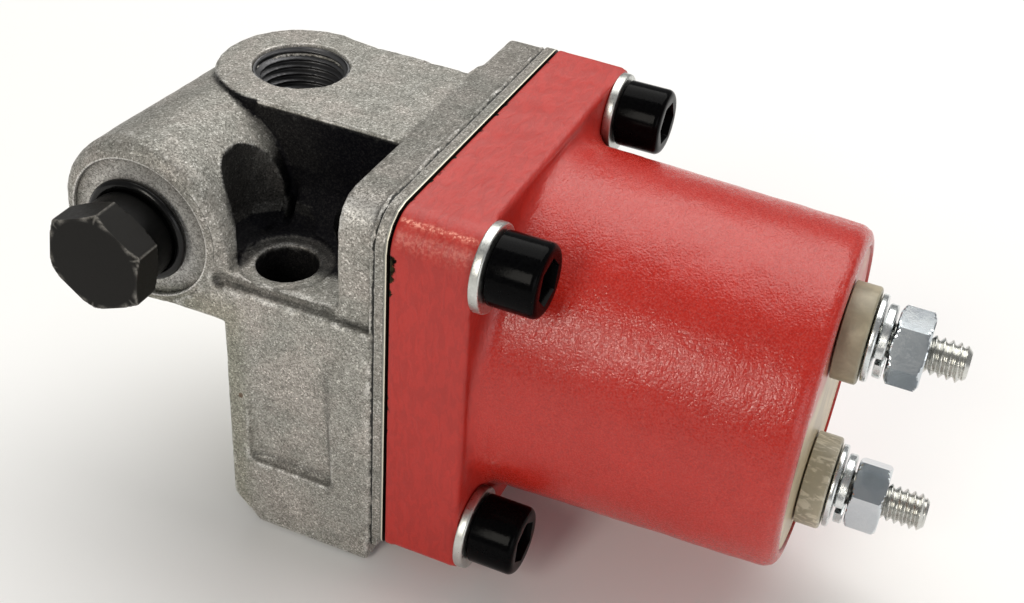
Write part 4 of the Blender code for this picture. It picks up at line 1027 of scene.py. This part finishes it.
def true_faces(co):
    """Make the turned faces true and widen the port's bore, so that the thread's sleeve fits.

    It returns which points lie on that bore.
    """
    for face in (
        # axis, its place, radius at both ends, low end, high end, arc in degrees
        ("Y", BOSS, (0.0151, 0.0138), -0.0300, 0.0030),
        ("Z", PORT, (ARM_R, ARM_R), 0.0420, ARM_TOP, (90.0, 270.0)),
        ("Z", (0.0, -BOLT_Y), (BOLT_HOLE_R, BOLT_HOLE_R), 0.0006, SHELF_TOP),
        ("Z", (0.0, -BOLT_Y), (SPOT_FACE_R, SPOT_FACE_R), SHELF_TOP + 0.0010, ARM_TOP + OVER),
        ("Z", (0.0, BOLT_Y), (BOLT_HOLE_R, BOLT_HOLE_R), 0.0006, SHELF_TOP),
        ("Z", (0.0, BOLT_Y), (SPOT_FACE_R, SPOT_FACE_R), SHELF_TOP + 0.0010, ARM_TOP + OVER),
        ("Z", SCALLOP, (SCALLOP_R, SCALLOP_R), SHELF_TOP + 0.0040, ARM_TOP + OVER),
        ("X", CORNER, (CORNER_R, CORNER_R), 0.0136, 0.0192, (90.0, 180.0)),
    ):
        true_round(co, *face)
    sleeve_r = 0.0080
    bore = true_round(co, "Z", PORT, (0.0075, 0.0068), 0.0556, 0.0699, slack=0.0004)
    across = co[:, :2] - PORT
    grow = np.where(bore, sleeve_r / np.maximum(np.hypot(*across.T), 1e-9), 1.0)
    co[:, :2] = PORT + across * grow[:, None]
    return bore


def roughen(co, normals, bore, lumps):
    """The points with the casting's lumps and the groove behind its machined rim.

    The lumps move each point along its normal by two value noises of different cell size, but
    not on machined faces. The middle of the groove wanders a little. The boss's face, the face
    in the seam and the arm's rear edge are then brought to their places.
    """
    x, y, z = co.T
    outline = (np.abs(normals[:, 0]) < 0.6) & (from_middle(co) > 0.0300)
    rim = outline & (x > RIM_LEFT - 0.0002)
    machined = (np.abs(x - 0.0217) < 0.0004) | (z < 0.0003) | bore | rim
    lump = value_noise(co, 0.0030, 1.0) * 0.6 + value_noise(co, 0.0011, 2.0) * 0.4
    amount = np.where(machined, 0.0, lumps) * (lump - 0.6)
    wander = value_noise(co, 0.0021, 4.0) * 0.00012
    ragged = 0.6 + 0.5 * value_noise(co, 0.0013, 3.0)
    groove = bell(x - RIM_LEFT + 0.00050 - wander, 0.0, 0.00024) * ragged * 0.00060
    amount -= np.where(outline & ~rim, groove, 0.0)
    amount -= np.where(rim, 0.00035, 0.0)
    co = co + normals * amount[:, None]

    x, y, z = co.T
    boss_face, face_bore = -0.0314, 0.0285
    sunk = (np.hypot(x - BOSS[0], z - BOSS[1]) < 0.0129) & (y < boss_face)
    co[:, 1] = np.where(sunk, boss_face, y)
    face = (x > FACE) & (np.hypot(y, z - AXIS_Z) > face_bore)
    co[:, 0] = np.where(face, FACE, x)
    co[:, 1] = even_rear(co)
    low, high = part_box("valve_body")
    return np.clip(co, np.array(low), np.array(high))


def mark_casting(mesh):
    """Let the casting carry the numbers that its material reads."""
    co = get_points(mesh)
    normals = get_points(mesh, "normal")
    stand = bulge(mesh, 2)
    # Convex edges lightened as wear and painted highlight, plus the painted highlight on the front
    # corner.
    worn = np.clip((stand - 0.028) / 0.035, 0.0, 1.0) * (value_noise(co, 0.0009, 7.0) + 0.35)
    set_number(mesh, "edge", worn + glare_share(co))
    set_number(mesh, "hollow", hollow_shade_share(co, stand))
    set_number(mesh, "soot", pocket_shade_share(co, normals))
    set_number(mesh, "top", (normals[:, 2] > 0.97) & (co[:, 2] > ARM_TOP - 0.0010))
    set_number(mesh, "level", painted_shade_share(co, normals))
    set_number(mesh, "ring", (from_middle(co) > 0.0295) & (co[:, 0] > 0.0150))


def casting_skin():
    """The cast valve body: an even skin of its CAD solid, made true, roughened and thinned out."""
    p = bpy.context.scene.solenoid_casting
    ob = even_skin(p)
    co = get_points(ob.data)
    bore = true_faces(co)
    set_points(ob.data, co)
    set_points(ob.data, roughen(co, get_points(ob.data, "normal"), bore, p.lumps))
    ob.modifiers.new("thin_out", "DECIMATE").ratio = 0.49
    mesh = apply_modifiers(ob)
    mesh.shade_smooth()
    mark_casting(mesh)
    return ob


def flange_corners():
    """Radii of the square flange's corners, from the rear top round to the rear low one."""
    p = bpy.context.scene.solenoid_enamel
    return p.rear_corner, p.front_corner, p.low_corner, p.low_corner


def rim_band():
    """The machined rim next to the seam: a square ring with a crisp edge on both sides."""
    low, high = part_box("valve_body")
    left, right, bevel, bottom = RIM_LEFT, high[0] + 0.00028, 0.00010, 0.0037
    insets = [0.0060, bevel * 2.0, bevel, 0.0, 0.0]
    stands = [0.0, 0.0, 0.0, bevel, bevel * 1.6]
    insets += insets[::-1]
    places = [left + s for s in stands] + [right - s for s in stands[::-1]]
    half = half_size("solenoid_housing", 1)
    rings = np.array([square_ring(half, flange_corners(), 90, 26, inset) for inset in insets])
    centre = (0.0, 0.0, sum(ends("solenoid_housing", 2)) / 2.0)
    grid = along("X", centre, rings[..., 0], rings[..., 1], np.reshape(places, (-1, 1)))
    floor = bottom - low[2] + np.array(insets)
    z = grid[..., 2]
    grid[..., 2] = np.where(z < 0.008, np.maximum(z, floor[:, None]), z)
    ob = grid_object("casting_rim", grid, closed=True, sharp=30.0)
    co = get_points(ob.data)
    # Painted highlight along the rim's left edge and on its front corner.
    on_edge = np.abs(co[:, 0] - left - bevel * 0.5) < bevel * 0.9
    set_number(ob.data, "edge", on_edge * 0.5 + glare_share(co))
    # Painted shade: the rim darker all round, most on its top.
    set_number(ob.data, "level", np.where(co[:, 2] > 0.0700, 0.85, 0.30))
    return ob


def boss_ring():
    """The machined ring on the boss round the plug: a turned step with crisp edges.

    The profile runs from the hole over the flat ring, up its outer wall and over onto the
    boss's rounded rim.
    """
    centre = (BOSS[0], 0.0, BOSS[1])
    hole, floor, base, tube = 0.0079, -0.0322, -0.0305, 0.00303
    a = np.linspace(math.radians(84.0), math.radians(62.0), 8)
    rim = [(0.0121 + tube * math.cos(t), -0.0300 - tube * math.sin(t), 0.0) for t in a]
    profile = soften(
        [(hole, base, 0.0), (hole, floor, 0.0003), (0.01215, floor, 0.00015),
         (0.01225, -0.03305, 0.0002)] + rim + [(0.0130, base, 0.0)]
    )
    ob = grid_object("boss_face_ring", turned("Y", centre, profile, 160), closed=True, sharp=40.0)
    x, y, z = get_points(ob.data).T
    away = np.hypot(x - BOSS[0], z - BOSS[1])
    # Painted highlight on the step's outer edge and on the hole's edge.
    on_edge = (np.abs(away - 0.0123) < 0.00022) & (y < -0.0328)
    set_number(ob.data, "edge", on_edge | ((away < 0.0083) & (y < -0.0319)))
    # Painted shade: the flat ring inside the step darker than the rounded rim.
    set_number(ob.data, "level", np.where(away < 0.0122, 0.75, 0.25))
    return ob


def port_thread():
    """Pipe thread inside the port: a sleeve whose inner side is the thread.

    The inner radius is the crest radius plus the thread's depth, with a slight taper, and the
    outer radius is plain.
    """
    pitch = bpy.context.scene.solenoid_hardware.port_pitch
    top, deep, crest, depth, mouth, outer = ARM_TOP, 0.0140, 0.0070, 0.00078, 0.00785, 0.00815
    angle = full_turn(120)
    h = np.linspace(top, top - deep, int(deep / pitch * 14))[:, None]
    inner = crest - (top - h) / deep * 0.0004 + thread_depth(angle, h, pitch) * depth
    fade = np.clip((top - h) / 0.0010, 0.0, 1.0)
    inner = inner * fade + mouth * (1.0 - fade)
    heights = [*h[:, 0], top - deep, top]
    grid = spin("Z", (*PORT, 0.0), angle, [*inner, outer, outer], heights)
    return grid_object("inlet_port_thread", grid, closed=True, sharp=50.0)


class SOLENOID_OT_casting(bpy.types.Operator):
    """Make the cast valve body and the thread in its port"""

    bl_idname = "solenoid.casting"
    bl_label = "Valve body casting"

    def execute(self, context):
        dress(casting_skin(), "cast", "cast_iron_grey", "valve_body")
        dress(port_thread(), "thread", "cast_iron_grey")
        dress(rim_band(), "cast", "cast_iron_grey")
        dress(boss_ring(), "cast", "cast_iron_grey")
        paint(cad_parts["fuel_shield"], "plate")
        return {"FINISHED"}


# ---- coil housing ----


def square_ring(half, corners, side, turn, inset=0.0):
    """Points round a square with round corners, side points along each side and turn per corner.

    Each corner's centre stands in from the sides by its own radius, and its arc runs over 90
    degrees. The ring starts at the side at +Y and runs towards +Z. An inset draws the sides in
    and takes the same length off each radius.
    """
    parts = []
    half = half - inset
    radii = [max(r - inset, 0.0003) for r in corners]
    for k in range(4):
        c, s = math.cos(k * math.pi / 2.0), math.sin(k * math.pi / 2.0)
        before, here = half - radii[k - 1], half - radii[k]
        t = np.linspace(-before, here, side, endpoint=False)
        line = np.stack([np.full(side, half), t], axis=-1)
        a = np.linspace(0.0, math.pi / 2.0, turn, endpoint=False)
        arc = np.stack([here + radii[k] * np.cos(a), here + radii[k] * np.sin(a)], axis=-1)
        u, v = np.concatenate([line, arc]).T
        parts.append(np.stack([u * c - v * s, u * s + v * c], axis=-1))
    return np.concatenate(parts)


def quarter(steps, first=0):
    """Sine and 1 - cosine over a quarter turn."""
    for k in range(first, steps + 1):
        a = math.pi / 2.0 * k / steps
        yield math.sin(a), 1.0 - math.cos(a)


def housing_skin():
    """Square flange and round pot as one skin.

    Each spoke starts on a square ring and ends on a circle in the same direction. Along it the
    profile runs round the flange edge, in over its back face, up the root fillet, along the
    pot with its draft, round the rim, and back down inside the recess and the bore.
    """
    p = bpy.context.scene.solenoid_enamel
    x0, x1 = ends("solenoid_housing")
    zc = sum(ends("solenoid_housing", 2)) / 2.0
    half = half_size("solenoid_housing", 1)
    rings, heights = [], []
    edge, seam_edge, bore, root, rim = 0.0011, 0.0005, 0.0240, 0.0034, p.rim

    def outline(inset=0.0):
        return square_ring(half, flange_corners(), 58, 26, inset)

    direction = outline() / np.linalg.norm(outline(), axis=1, keepdims=True)

    def add(ring, x):
        rings.append(ring)
        heights.append(x)

    back = x0 + p.flange
    add(direction * bore, x0)
    for share in (0.3, 0.6):
        add(direction * bore + (outline(seam_edge) - direction * bore) * share, x0)
    for sine, rise in quarter(6):
        add(outline(seam_edge * (1.0 - sine)), x0 + seam_edge * rise)
    for share in np.linspace(0.0, 1.0, 18)[1:-1]:
        add(outline(), x0 + seam_edge + (p.flange - seam_edge - edge) * share)
    for sine, rise in quarter(8):
        add(outline(edge * rise), back - edge + edge * sine)
    start = outline(edge)
    reach = np.minimum(np.linalg.norm(start, axis=1) - 0.0003, p.pot_root + root)[:, None]
    for share in np.linspace(0.0, 1.0, 10)[1:]:
        add(start + (direction * reach - start) * share, back)
    for sine, rise in quarter(12, 1):
        add(direction * (p.pot_root + (reach - p.pot_root) * (1.0 - sine)), back + root * rise)
    for share in np.linspace(0.0, 1.0, 46)[1:-1]:
        radius = p.pot_root + (p.pot_end - p.pot_root) * share
        add(direction * radius, back + root + (x1 - rim - back - root) * share)
    for sine, rise in quarter(10):
        add(direction * (p.pot_end - rim * rise), x1 - rim + rim * sine)
    lip, well = p.pot_end - 0.0030, 0.0073
    for radius, depth in (
        (lip + 0.0001, 0.0), (lip, 0.0001), (lip, 0.0106), (bore, 0.0106), (well, 0.0106),
        (well, 0.0146), (bore, 0.0146),
    ):
        add(direction * radius, x1 - depth)
    rings = np.array(rings)
    centre = (0.0, 0.0, zc)
    grid = along("X", centre, rings[..., 0], rings[..., 1], np.reshape(heights, (-1, 1)))
    pts = grid.reshape(-1, 3)
    r = np.hypot(pts[:, 1], pts[:, 2] - zc)
    wave = value_noise(pts, 0.0050, 5.0) * 0.00010 + value_noise(pts, 0.0016, 6.0) * 0.00005
    outside = between(pts[:, 0], x0 + 0.0012, x1 - 0.0010) & (r > 0.0262)
    wave = np.where(outside, wave - 0.00014, 0.0)
    pull = 1.0 + wave / np.maximum(r, 1e-6)
    pts[:, 1] *= pull
    pts[:, 2] = zc + (pts[:, 2] - zc) * pull
    seat = ends("flange_washer_1")[0] - 0.0001
    for n in range(1, 5):
        spot = middle("flange_washer_%d" % n)
        away = np.hypot(pts[:, 1] - spot[1], pts[:, 2] - spot[2])
        pts[(away < 0.0076) & between(pts[:, 0], seat - 0.0006, seat + 0.006), 0] = seat
    ob = grid_object("solenoid_housing_skin", grid, closed=True, sharp=48.0)
    # Painted highlight along the flange's rounded front top corner, which the enamel reads.
    x, y, z = get_points(ob.data).T
    inset = half - p.front_corner
    angle = np.degrees(np.arctan2(z - zc - inset, -y - inset))
    out = np.hypot(z - zc - inset, y + inset)
    along_edge = step(x, x0 + 0.0003, x0 + 0.0008) * step(x0 + p.flange - x, 0.0, 0.0010)
    line = (bell(angle, 57.0, 4.0) + 0.22 * bell(angle, 30.0, 16.0)) * along_edge
    set_number(ob.data, "streak", np.where(np.abs(out - p.front_corner) < 0.0008, line, 0.0))
    return ob


class SOLENOID_OT_housing(bpy.types.Operator):
    """Make the enamelled coil housing"""

    bl_idname = "solenoid.housing"
    bl_label = "Coil housing"

    def execute(self, context):
        dress(housing_skin(), "red", "red_enamel", "solenoid_housing")
        return {"FINISHED"}


# ---- hardware ----


def threaded_rod(name, centre, start, end, radius, depth, pitch, plain):
    """A round rod along X with a thread after its plain part, ending in a chamfered tip.

    The radius is the outer radius less the thread's depth, and near the tip it is no more
    than a cone of 45 degrees allows.
    """
    long = abs(end - start)
    sign = 1.0 if end > start else -1.0
    angle = full_turn(72)
    s = np.linspace(0.0, long, max(24, int(long / pitch * 16)))[:, None]
    cut = thread_depth(angle, s * sign, pitch, sign)
    r = radius - depth * cut * np.clip((s - plain) / (pitch * 0.7), 0.0, 1.0)
    r = np.minimum(r, radius - 0.0006 - depth * 0.6 + (long - s))
    heights = [start, *(start + sign * s)[:, 0], end]
    return grid_object(name, spin("X", centre, angle, [0.0, *r, 0.0], heights), sharp=42.0)


def socket_screw(number):
    """A socket head screw: hexagon socket, rounded head rim and a threaded end.

    The socket's radius follows the hexagon, and everything else is turned.
    """
    node = "flange_screw_%d" % number
    centre = middle(node)
    tip, top = ends(node)
    head_r, head_h, neck, deep = half_size(node, 1), 0.00794, 0.0038, 0.0040
    under = top - head_h
    angle = full_turn(144)
    flats = bpy.context.scene.solenoid_hardware.socket
    hexa = hexagon_reach(angle, flats, math.radians(60.0 - 17.0 * number))
    rim = soften([
        (head_r - 0.0015, top, 0.0), (head_r - 0.00135, top, 0.0), (head_r, top - 0.0001, 0.00110),
        (head_r, under, 0.0003), (neck, under, 0.0), (neck, under - 0.004, 0.0),
        (0.0, under - 0.004, 0.0),
    ], 7)
    radii = [0.0, hexa * 0.995, hexa, hexa * 1.03 + 0.00008, *rim[:, 0]]
    heights = [top - deep - 0.0009, top - deep, top - 0.00035, top - 0.00004, *rim[:, 1]]
    head = grid_object(node + "_head", spin("X", centre, angle, radii, heights))
    shank = threaded_rod(
        node + "_shank", centre, under - 0.003, tip, 0.0036, 0.00060, FINE_PITCH, 0.006
    )
    dress(join_pieces(node + "_dress", [head, shank]), "black", "black_oxide", node)


class SOLENOID_OT_screws(bpy.types.Operator):
    """Make the four socket head screws and their washers"""

    bl_idname = "solenoid.screws"
    bl_label = "Flange screws"

    def execute(self, context):
        for number in range(1, 5):
            socket_screw(number)
            washer = "flange_washer_%d" % number
            turned_ring(washer, 0.0042, 0.00025, 0.00040, "washer", "zinc_plate")
        return {"FINISHED"}


def side_plug():
    """Hexagon plug: chamfered hexagon, neck, groove and plain thread end.

    Along the hexagon the radius is the smaller of the hexagon and a cone at each end.
    """
    flats = bpy.context.scene.solenoid_hardware.plug
    node = "side_port_plug"
    front, tail = ends(node, 1)
    back = front + 0.0053
    cone, slope = 0.0004, 1.7
    angle = full_turn(180)
    hexa = hexagon_reach(angle, flats, HEX_TURN)
    radii, heights = chamfered(hexa, flats / 2.0, front, back, (cone, slope), (0.0002, 2.2), 26)
    rear = soften([
        (0.0076, back, 0.0), (0.0075, back, 0.0), (0.0075, back + 0.0042, 0.0002),
        (0.0070, back + 0.0044, 0.0), (0.0070, back + 0.0065, 0.0), (0.0078, back + 0.0067, 0.0),
        (0.0078, tail - 0.0009, 0.0), (0.0069, tail, 0.0), (0.0, tail, 0.0),
    ])
    radii = [0.0, flats * 0.25, flats * 0.47, *radii, *rear[:, 0]]
    heights = [front, front, front, *heights, *rear[:, 1]]
    centre = (BOSS[0], 0.0, BOSS[1])
    grid = spin("Y", centre, angle, radii, heights)
    ob = node_piece(node, grid, "plug", "black_oxide", sharp=24.0)
    x, y, z = get_points(ob.data).T
    u, w = x - BOSS[0], z - BOSS[1]
    reach = hexagon_reach(np.arctan2(w, u), flats, HEX_TURN)
    away = flats / 2.0 + cone + (y - front) * slope - reach
    on_hex = between(y, front - 0.0001, front + 0.0050) & (np.hypot(u, w) > flats * 0.49)
    corner = step(reach, flats * 0.5735, flats * 0.5765)
    rub = np.maximum(bell(away, 0.0, 0.00022), corner * 0.8)
    set_number(ob.data, "edge", np.where(on_hex, rub, 0.0))


def plug_ring():
    """A rubber ring of round section: the tube's circle carried round the ring's circle."""
    node = "plug_o_ring"
    centre = middle(node)
    tube = half_size(node, 1)
    ring = half_size(node, 2) - tube
    a = full_turn(24)
    profile = np.stack([ring + tube * np.cos(a), centre[1] + tube * np.sin(a)], axis=-1)
    grid = turned("Y", centre, profile, 120)
    node_piece(node, grid, "rubber", "black_rubber", closed=True, sharp=80.0)


class SOLENOID_OT_plug(bpy.types.Operator):
    """Make the side plug and its ring"""

    bl_idname = "solenoid.plug"
    bl_label = "Side plug"

    def execute(self, context):
        side_plug()
        plug_ring()
        return {"FINISHED"}


def on_stud(node, which):
    """A node's centre along X on the axis of a terminal's insulator."""
    centre = middle("terminal_insulator_" + which)
    centre[0] = middle(node)[0]
    return centre


def stud_nut(which, turn):
    """A hexagon nut with chamfered faces: at each height the smaller of hexagon and cone."""
    node = "terminal_nut_" + which
    flats = bpy.context.scene.solenoid_hardware.nut
    a, b = ends(node)
    angle = full_turn(180)
    bore, wide, cone = STUD_HOLE_R - 0.00005, 0.00395, (-0.0001, 1.75)
    hexa = hexagon_reach(angle, flats, turn)
    radii, heights = chamfered(hexa, flats / 2.0, a, b, cone, cone, 30)
    radii = [bore, wide, *radii, wide, bore]
    heights = [a + 0.0005, a, *heights, b, b - 0.0005]
    grid = spin("X", on_stud(node, which), angle, radii, heights)
    node_piece(node, grid, "nut", "zinc_plate", closed=True, sharp=24.0)


def lock_washer(which):
    """A split spring washer: a rectangular section swept over nearly a full turn with a rise."""
    node = "terminal_lock_washer_" + which
    near, far = ends(node)
    outer, rise = half_size(node, 2), 0.0003
    gap = math.asin(0.0006 / outer)
    share = np.linspace(0.0, 1.0, 96)[:, None]
    angle = gap + (2.0 * math.pi - 2.0 * gap) * share
    thick = far - near - rise
    body = bar_sweep(
        on_stud(node, which), STUD_HOLE_R, outer, thick, 0.0002, angle, near + rise * share,
        side=-1.0,
    )
    caps = [
        np.repeat(end.mean(axis=1, keepdims=True), body.shape[1], axis=1)
        for end in (body[:1], body[-1:])
    ]
    node_piece(node, np.concatenate([caps[0], body, caps[1]]), "zinc", "zinc_plate", sharp=30.0)


def stud(which):
    """A threaded stud with a plain round head."""
    hw = bpy.context.scene.solenoid_hardware
    node = "terminal_stud_" + which
    start, end = ends(node)
    centre = middle(node)
    head_r, head_h = 0.005, 0.0024
    shank = threaded_rod(
        node + "_shank", centre, start + 0.002, end, hw.stud, 0.00068, hw.stud_pitch, 0.008
    )
    head = grid_object(node + "_head", turned("X", centre, [
        (0.0, start), (head_r, start), (head_r, start + head_h), (0.0, start + head_h),
    ], 48))
    dress(join_pieces(node + "_dress", [shank, head]), "steel", "bright_steel", node)


class SOLENOID_OT_terminals(bpy.types.Operator):
    """Make the studs with their insulators, washers and nuts"""

    bl_idname = "solenoid.terminals"
    bl_label = "Terminals"

    def execute(self, context):
        for which, flat in (("upper", 90.0), ("lower", 58.0)):
            stud(which)
            bush, washer = "terminal_insulator_" + which, "terminal_flat_washer_" + which
            turned_ring(bush, STUD_HOLE_R, 0.00020, 0.00050, "olive", "olive_phenolic")
            turned_ring(washer, STUD_HOLE_R - 0.00002, 0.00020, 0.00032, "zinc", "zinc_plate")
            lock_washer(which)
            stud_nut(which, math.radians(flat))
        return {"FINISHED"}


def wave_spring():
    """A flat ring bent in waves: its face stands at the middle plus swing * cos(waves * angle).
    """
    node = "wave_spring"
    near, far = ends(node)
    centre = middle(node)
    width, thick, waves = 0.0026, 0.0004, 4
    outer = half_size(node, 2)
    swing = (far - near - thick) / 2.0
    angle = full_turn(240)[:, None]
    rise = centre[0] - thick / 2.0 + swing * np.cos(waves * angle)
    grid = bar_sweep(centre, outer - width, outer, thick, 0.00008, angle, rise)
    ob = node_piece(node, grid, "spring", "spring_steel", closed=True, sharp=30.0)
    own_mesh(ob)


class SOLENOID_OT_inside(bpy.types.Operator):
    """Give the inner CAD solids their finishes, and make the spring"""

    bl_idname = "solenoid.inside"
    bl_label = "Coil, core and valve disc"

    def execute(self, context):
        for node, finish in (
            ("end_resin", "resin"), ("pole_core", "iron"), ("coil_bobbin", "nylon"),
            ("coil_winding", "copper"), ("coil_lead_upper", "copper"),
            ("coil_lead_lower", "copper"), ("housing_o_ring", "rubber"), ("valve_disc", "iron"),
            ("disc_seal", "rubber"),
        ):
            paint(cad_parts[node], finish)
        wave_spring()
        return {"FINISHED"}


# ---- stage ----


def soft_light(name, place, size, power, color):
    """A rectangular area light that points at the part."""
    data = bpy.data.lights.new(name, "AREA")
    data.shape = "RECTANGLE"
    data.size, data.size_y = size
    data.energy = power
    data.color = color
    ob = add_object(name, data)
    ob.location = place
    ob.rotation_mode = "QUATERNION"
    target = Vector((0.035, 0.0, 0.04))
    ob.rotation_quaternion = (target - Vector(place)).to_track_quat("-Z", "Y")


class SOLENOID_OT_stage(bpy.types.Operator):
    """Set the floor, the lights and the camera"""

    bl_idname = "solenoid.stage"
    bl_label = "Stage"

    def execute(self, context):
        p = context.scene.solenoid_stage
        size, floor_z = 3.0, -0.0006
        corners = ((-size, -size), (size, -size), (size, size), (-size, size))
        mesh = bpy.data.meshes.new("studio_floor")
        mesh.from_pydata([(x, y, floor_z) for x, y in corners], [], [(0, 1, 2, 3)])
        mesh.materials.append(new_material("pale_floor", (0.86, 0.86, 0.86), 0.0, 0.8)[0])
        add_object("studio_floor", mesh)

        world = bpy.data.worlds.new("soft_studio")
        context.scene.world = world
        world.use_nodes = True
        background = world.node_tree.nodes["Background"]
        background.inputs["Color"].default_value = (1.0, 1.0, 1.0, 1.0)
        background.inputs["Strength"].default_value = 0.26
        # name, place, width and height, power in watts, colour
        soft_light("sky_panel", (0.035, 0.42, 0.85), (1.3, 0.9), 11.0, (1.0, 0.985, 0.95))
        soft_light("side_fill", (0.70, -0.45, 0.20), (0.5, 0.36), 1.0, (1.0, 1.0, 1.0))
        soft_light("window", (-0.12, -0.76, 0.48), (0.22, 0.40), 2.5, (1.0, 0.95, 0.86))

        camera = bpy.data.cameras.new("photo_camera")
        ob = add_object("photo_camera", camera)
        az, el = p.azimuth, p.elevation
        back = Vector((math.sin(az) * math.cos(el), -math.cos(az) * math.cos(el), math.sin(el)))
        right = Vector((math.cos(az), math.sin(az), 0.0))
        up = back.cross(right)
        turn = Matrix((right, up, back)).transposed() @ Matrix.Rotation(p.roll, 3, "Z")
        ob.matrix_world = Matrix.Translation(p.place) @ turn.to_4x4()
        camera.lens = p.lens
        camera.sensor_width = 36.0
        camera.shift_x, camera.shift_y = p.shift
        camera.clip_start = 0.005
        camera.clip_end = 20.0
        context.scene.camera = ob
        context.scene.view_settings.view_transform = "Standard"
        return {"FINISHED"}


class SOLENOID_PT_panel(bpy.types.Panel):
    """Sidebar panel with the sizes and the steps"""

    bl_label = "Solenoid"
    bl_idname = "SOLENOID_PT_panel"
    bl_space_type = "VIEW_3D"
    bl_region_type = "UI"
    bl_category = "Solenoid"

    def draw(self, context):
        for settings in SETTINGS:
            group = getattr(context.scene, settings)
            box = self.layout.box()
            for label in group.__annotations__:
                box.prop(group, label)
        for operator in OPERATORS:
            self.layout.operator(operator.bl_idname)


SETTINGS = {
    "solenoid_casting": SolenoidCasting,
    "solenoid_enamel": SolenoidEnamel,
    "solenoid_hardware": SolenoidHardware,
    "solenoid_stage": SolenoidStage,
}
OPERATORS = (
    SOLENOID_OT_casting, SOLENOID_OT_housing, SOLENOID_OT_screws, SOLENOID_OT_plug,
    SOLENOID_OT_terminals, SOLENOID_OT_inside, SOLENOID_OT_stage,
)
CLASSES = tuple(SETTINGS.values()) + OPERATORS + (SOLENOID_PT_panel,)


def register():
    """Register the classes and hang the settings on the scene."""
    for item in CLASSES:
        bpy.utils.register_class(item)
    for name, group in SETTINGS.items():
        setattr(bpy.types.Scene, name, bpy.props.PointerProperty(type=group))


def unregister():
    """Take the settings and the classes away."""
    for name in SETTINGS:
        delattr(bpy.types.Scene, name)
    for item in reversed(CLASSES):
        bpy.utils.unregister_class(item)


def main():
    """Make every piece."""
    register()
    make_finishes()
    bpy.ops.solenoid.casting()
    bpy.ops.solenoid.housing()
    bpy.ops.solenoid.screws()
    bpy.ops.solenoid.plug()
    bpy.ops.solenoid.terminals()
    bpy.ops.solenoid.inside()
    bpy.ops.solenoid.stage()


if __name__ == "__main__":
    main()
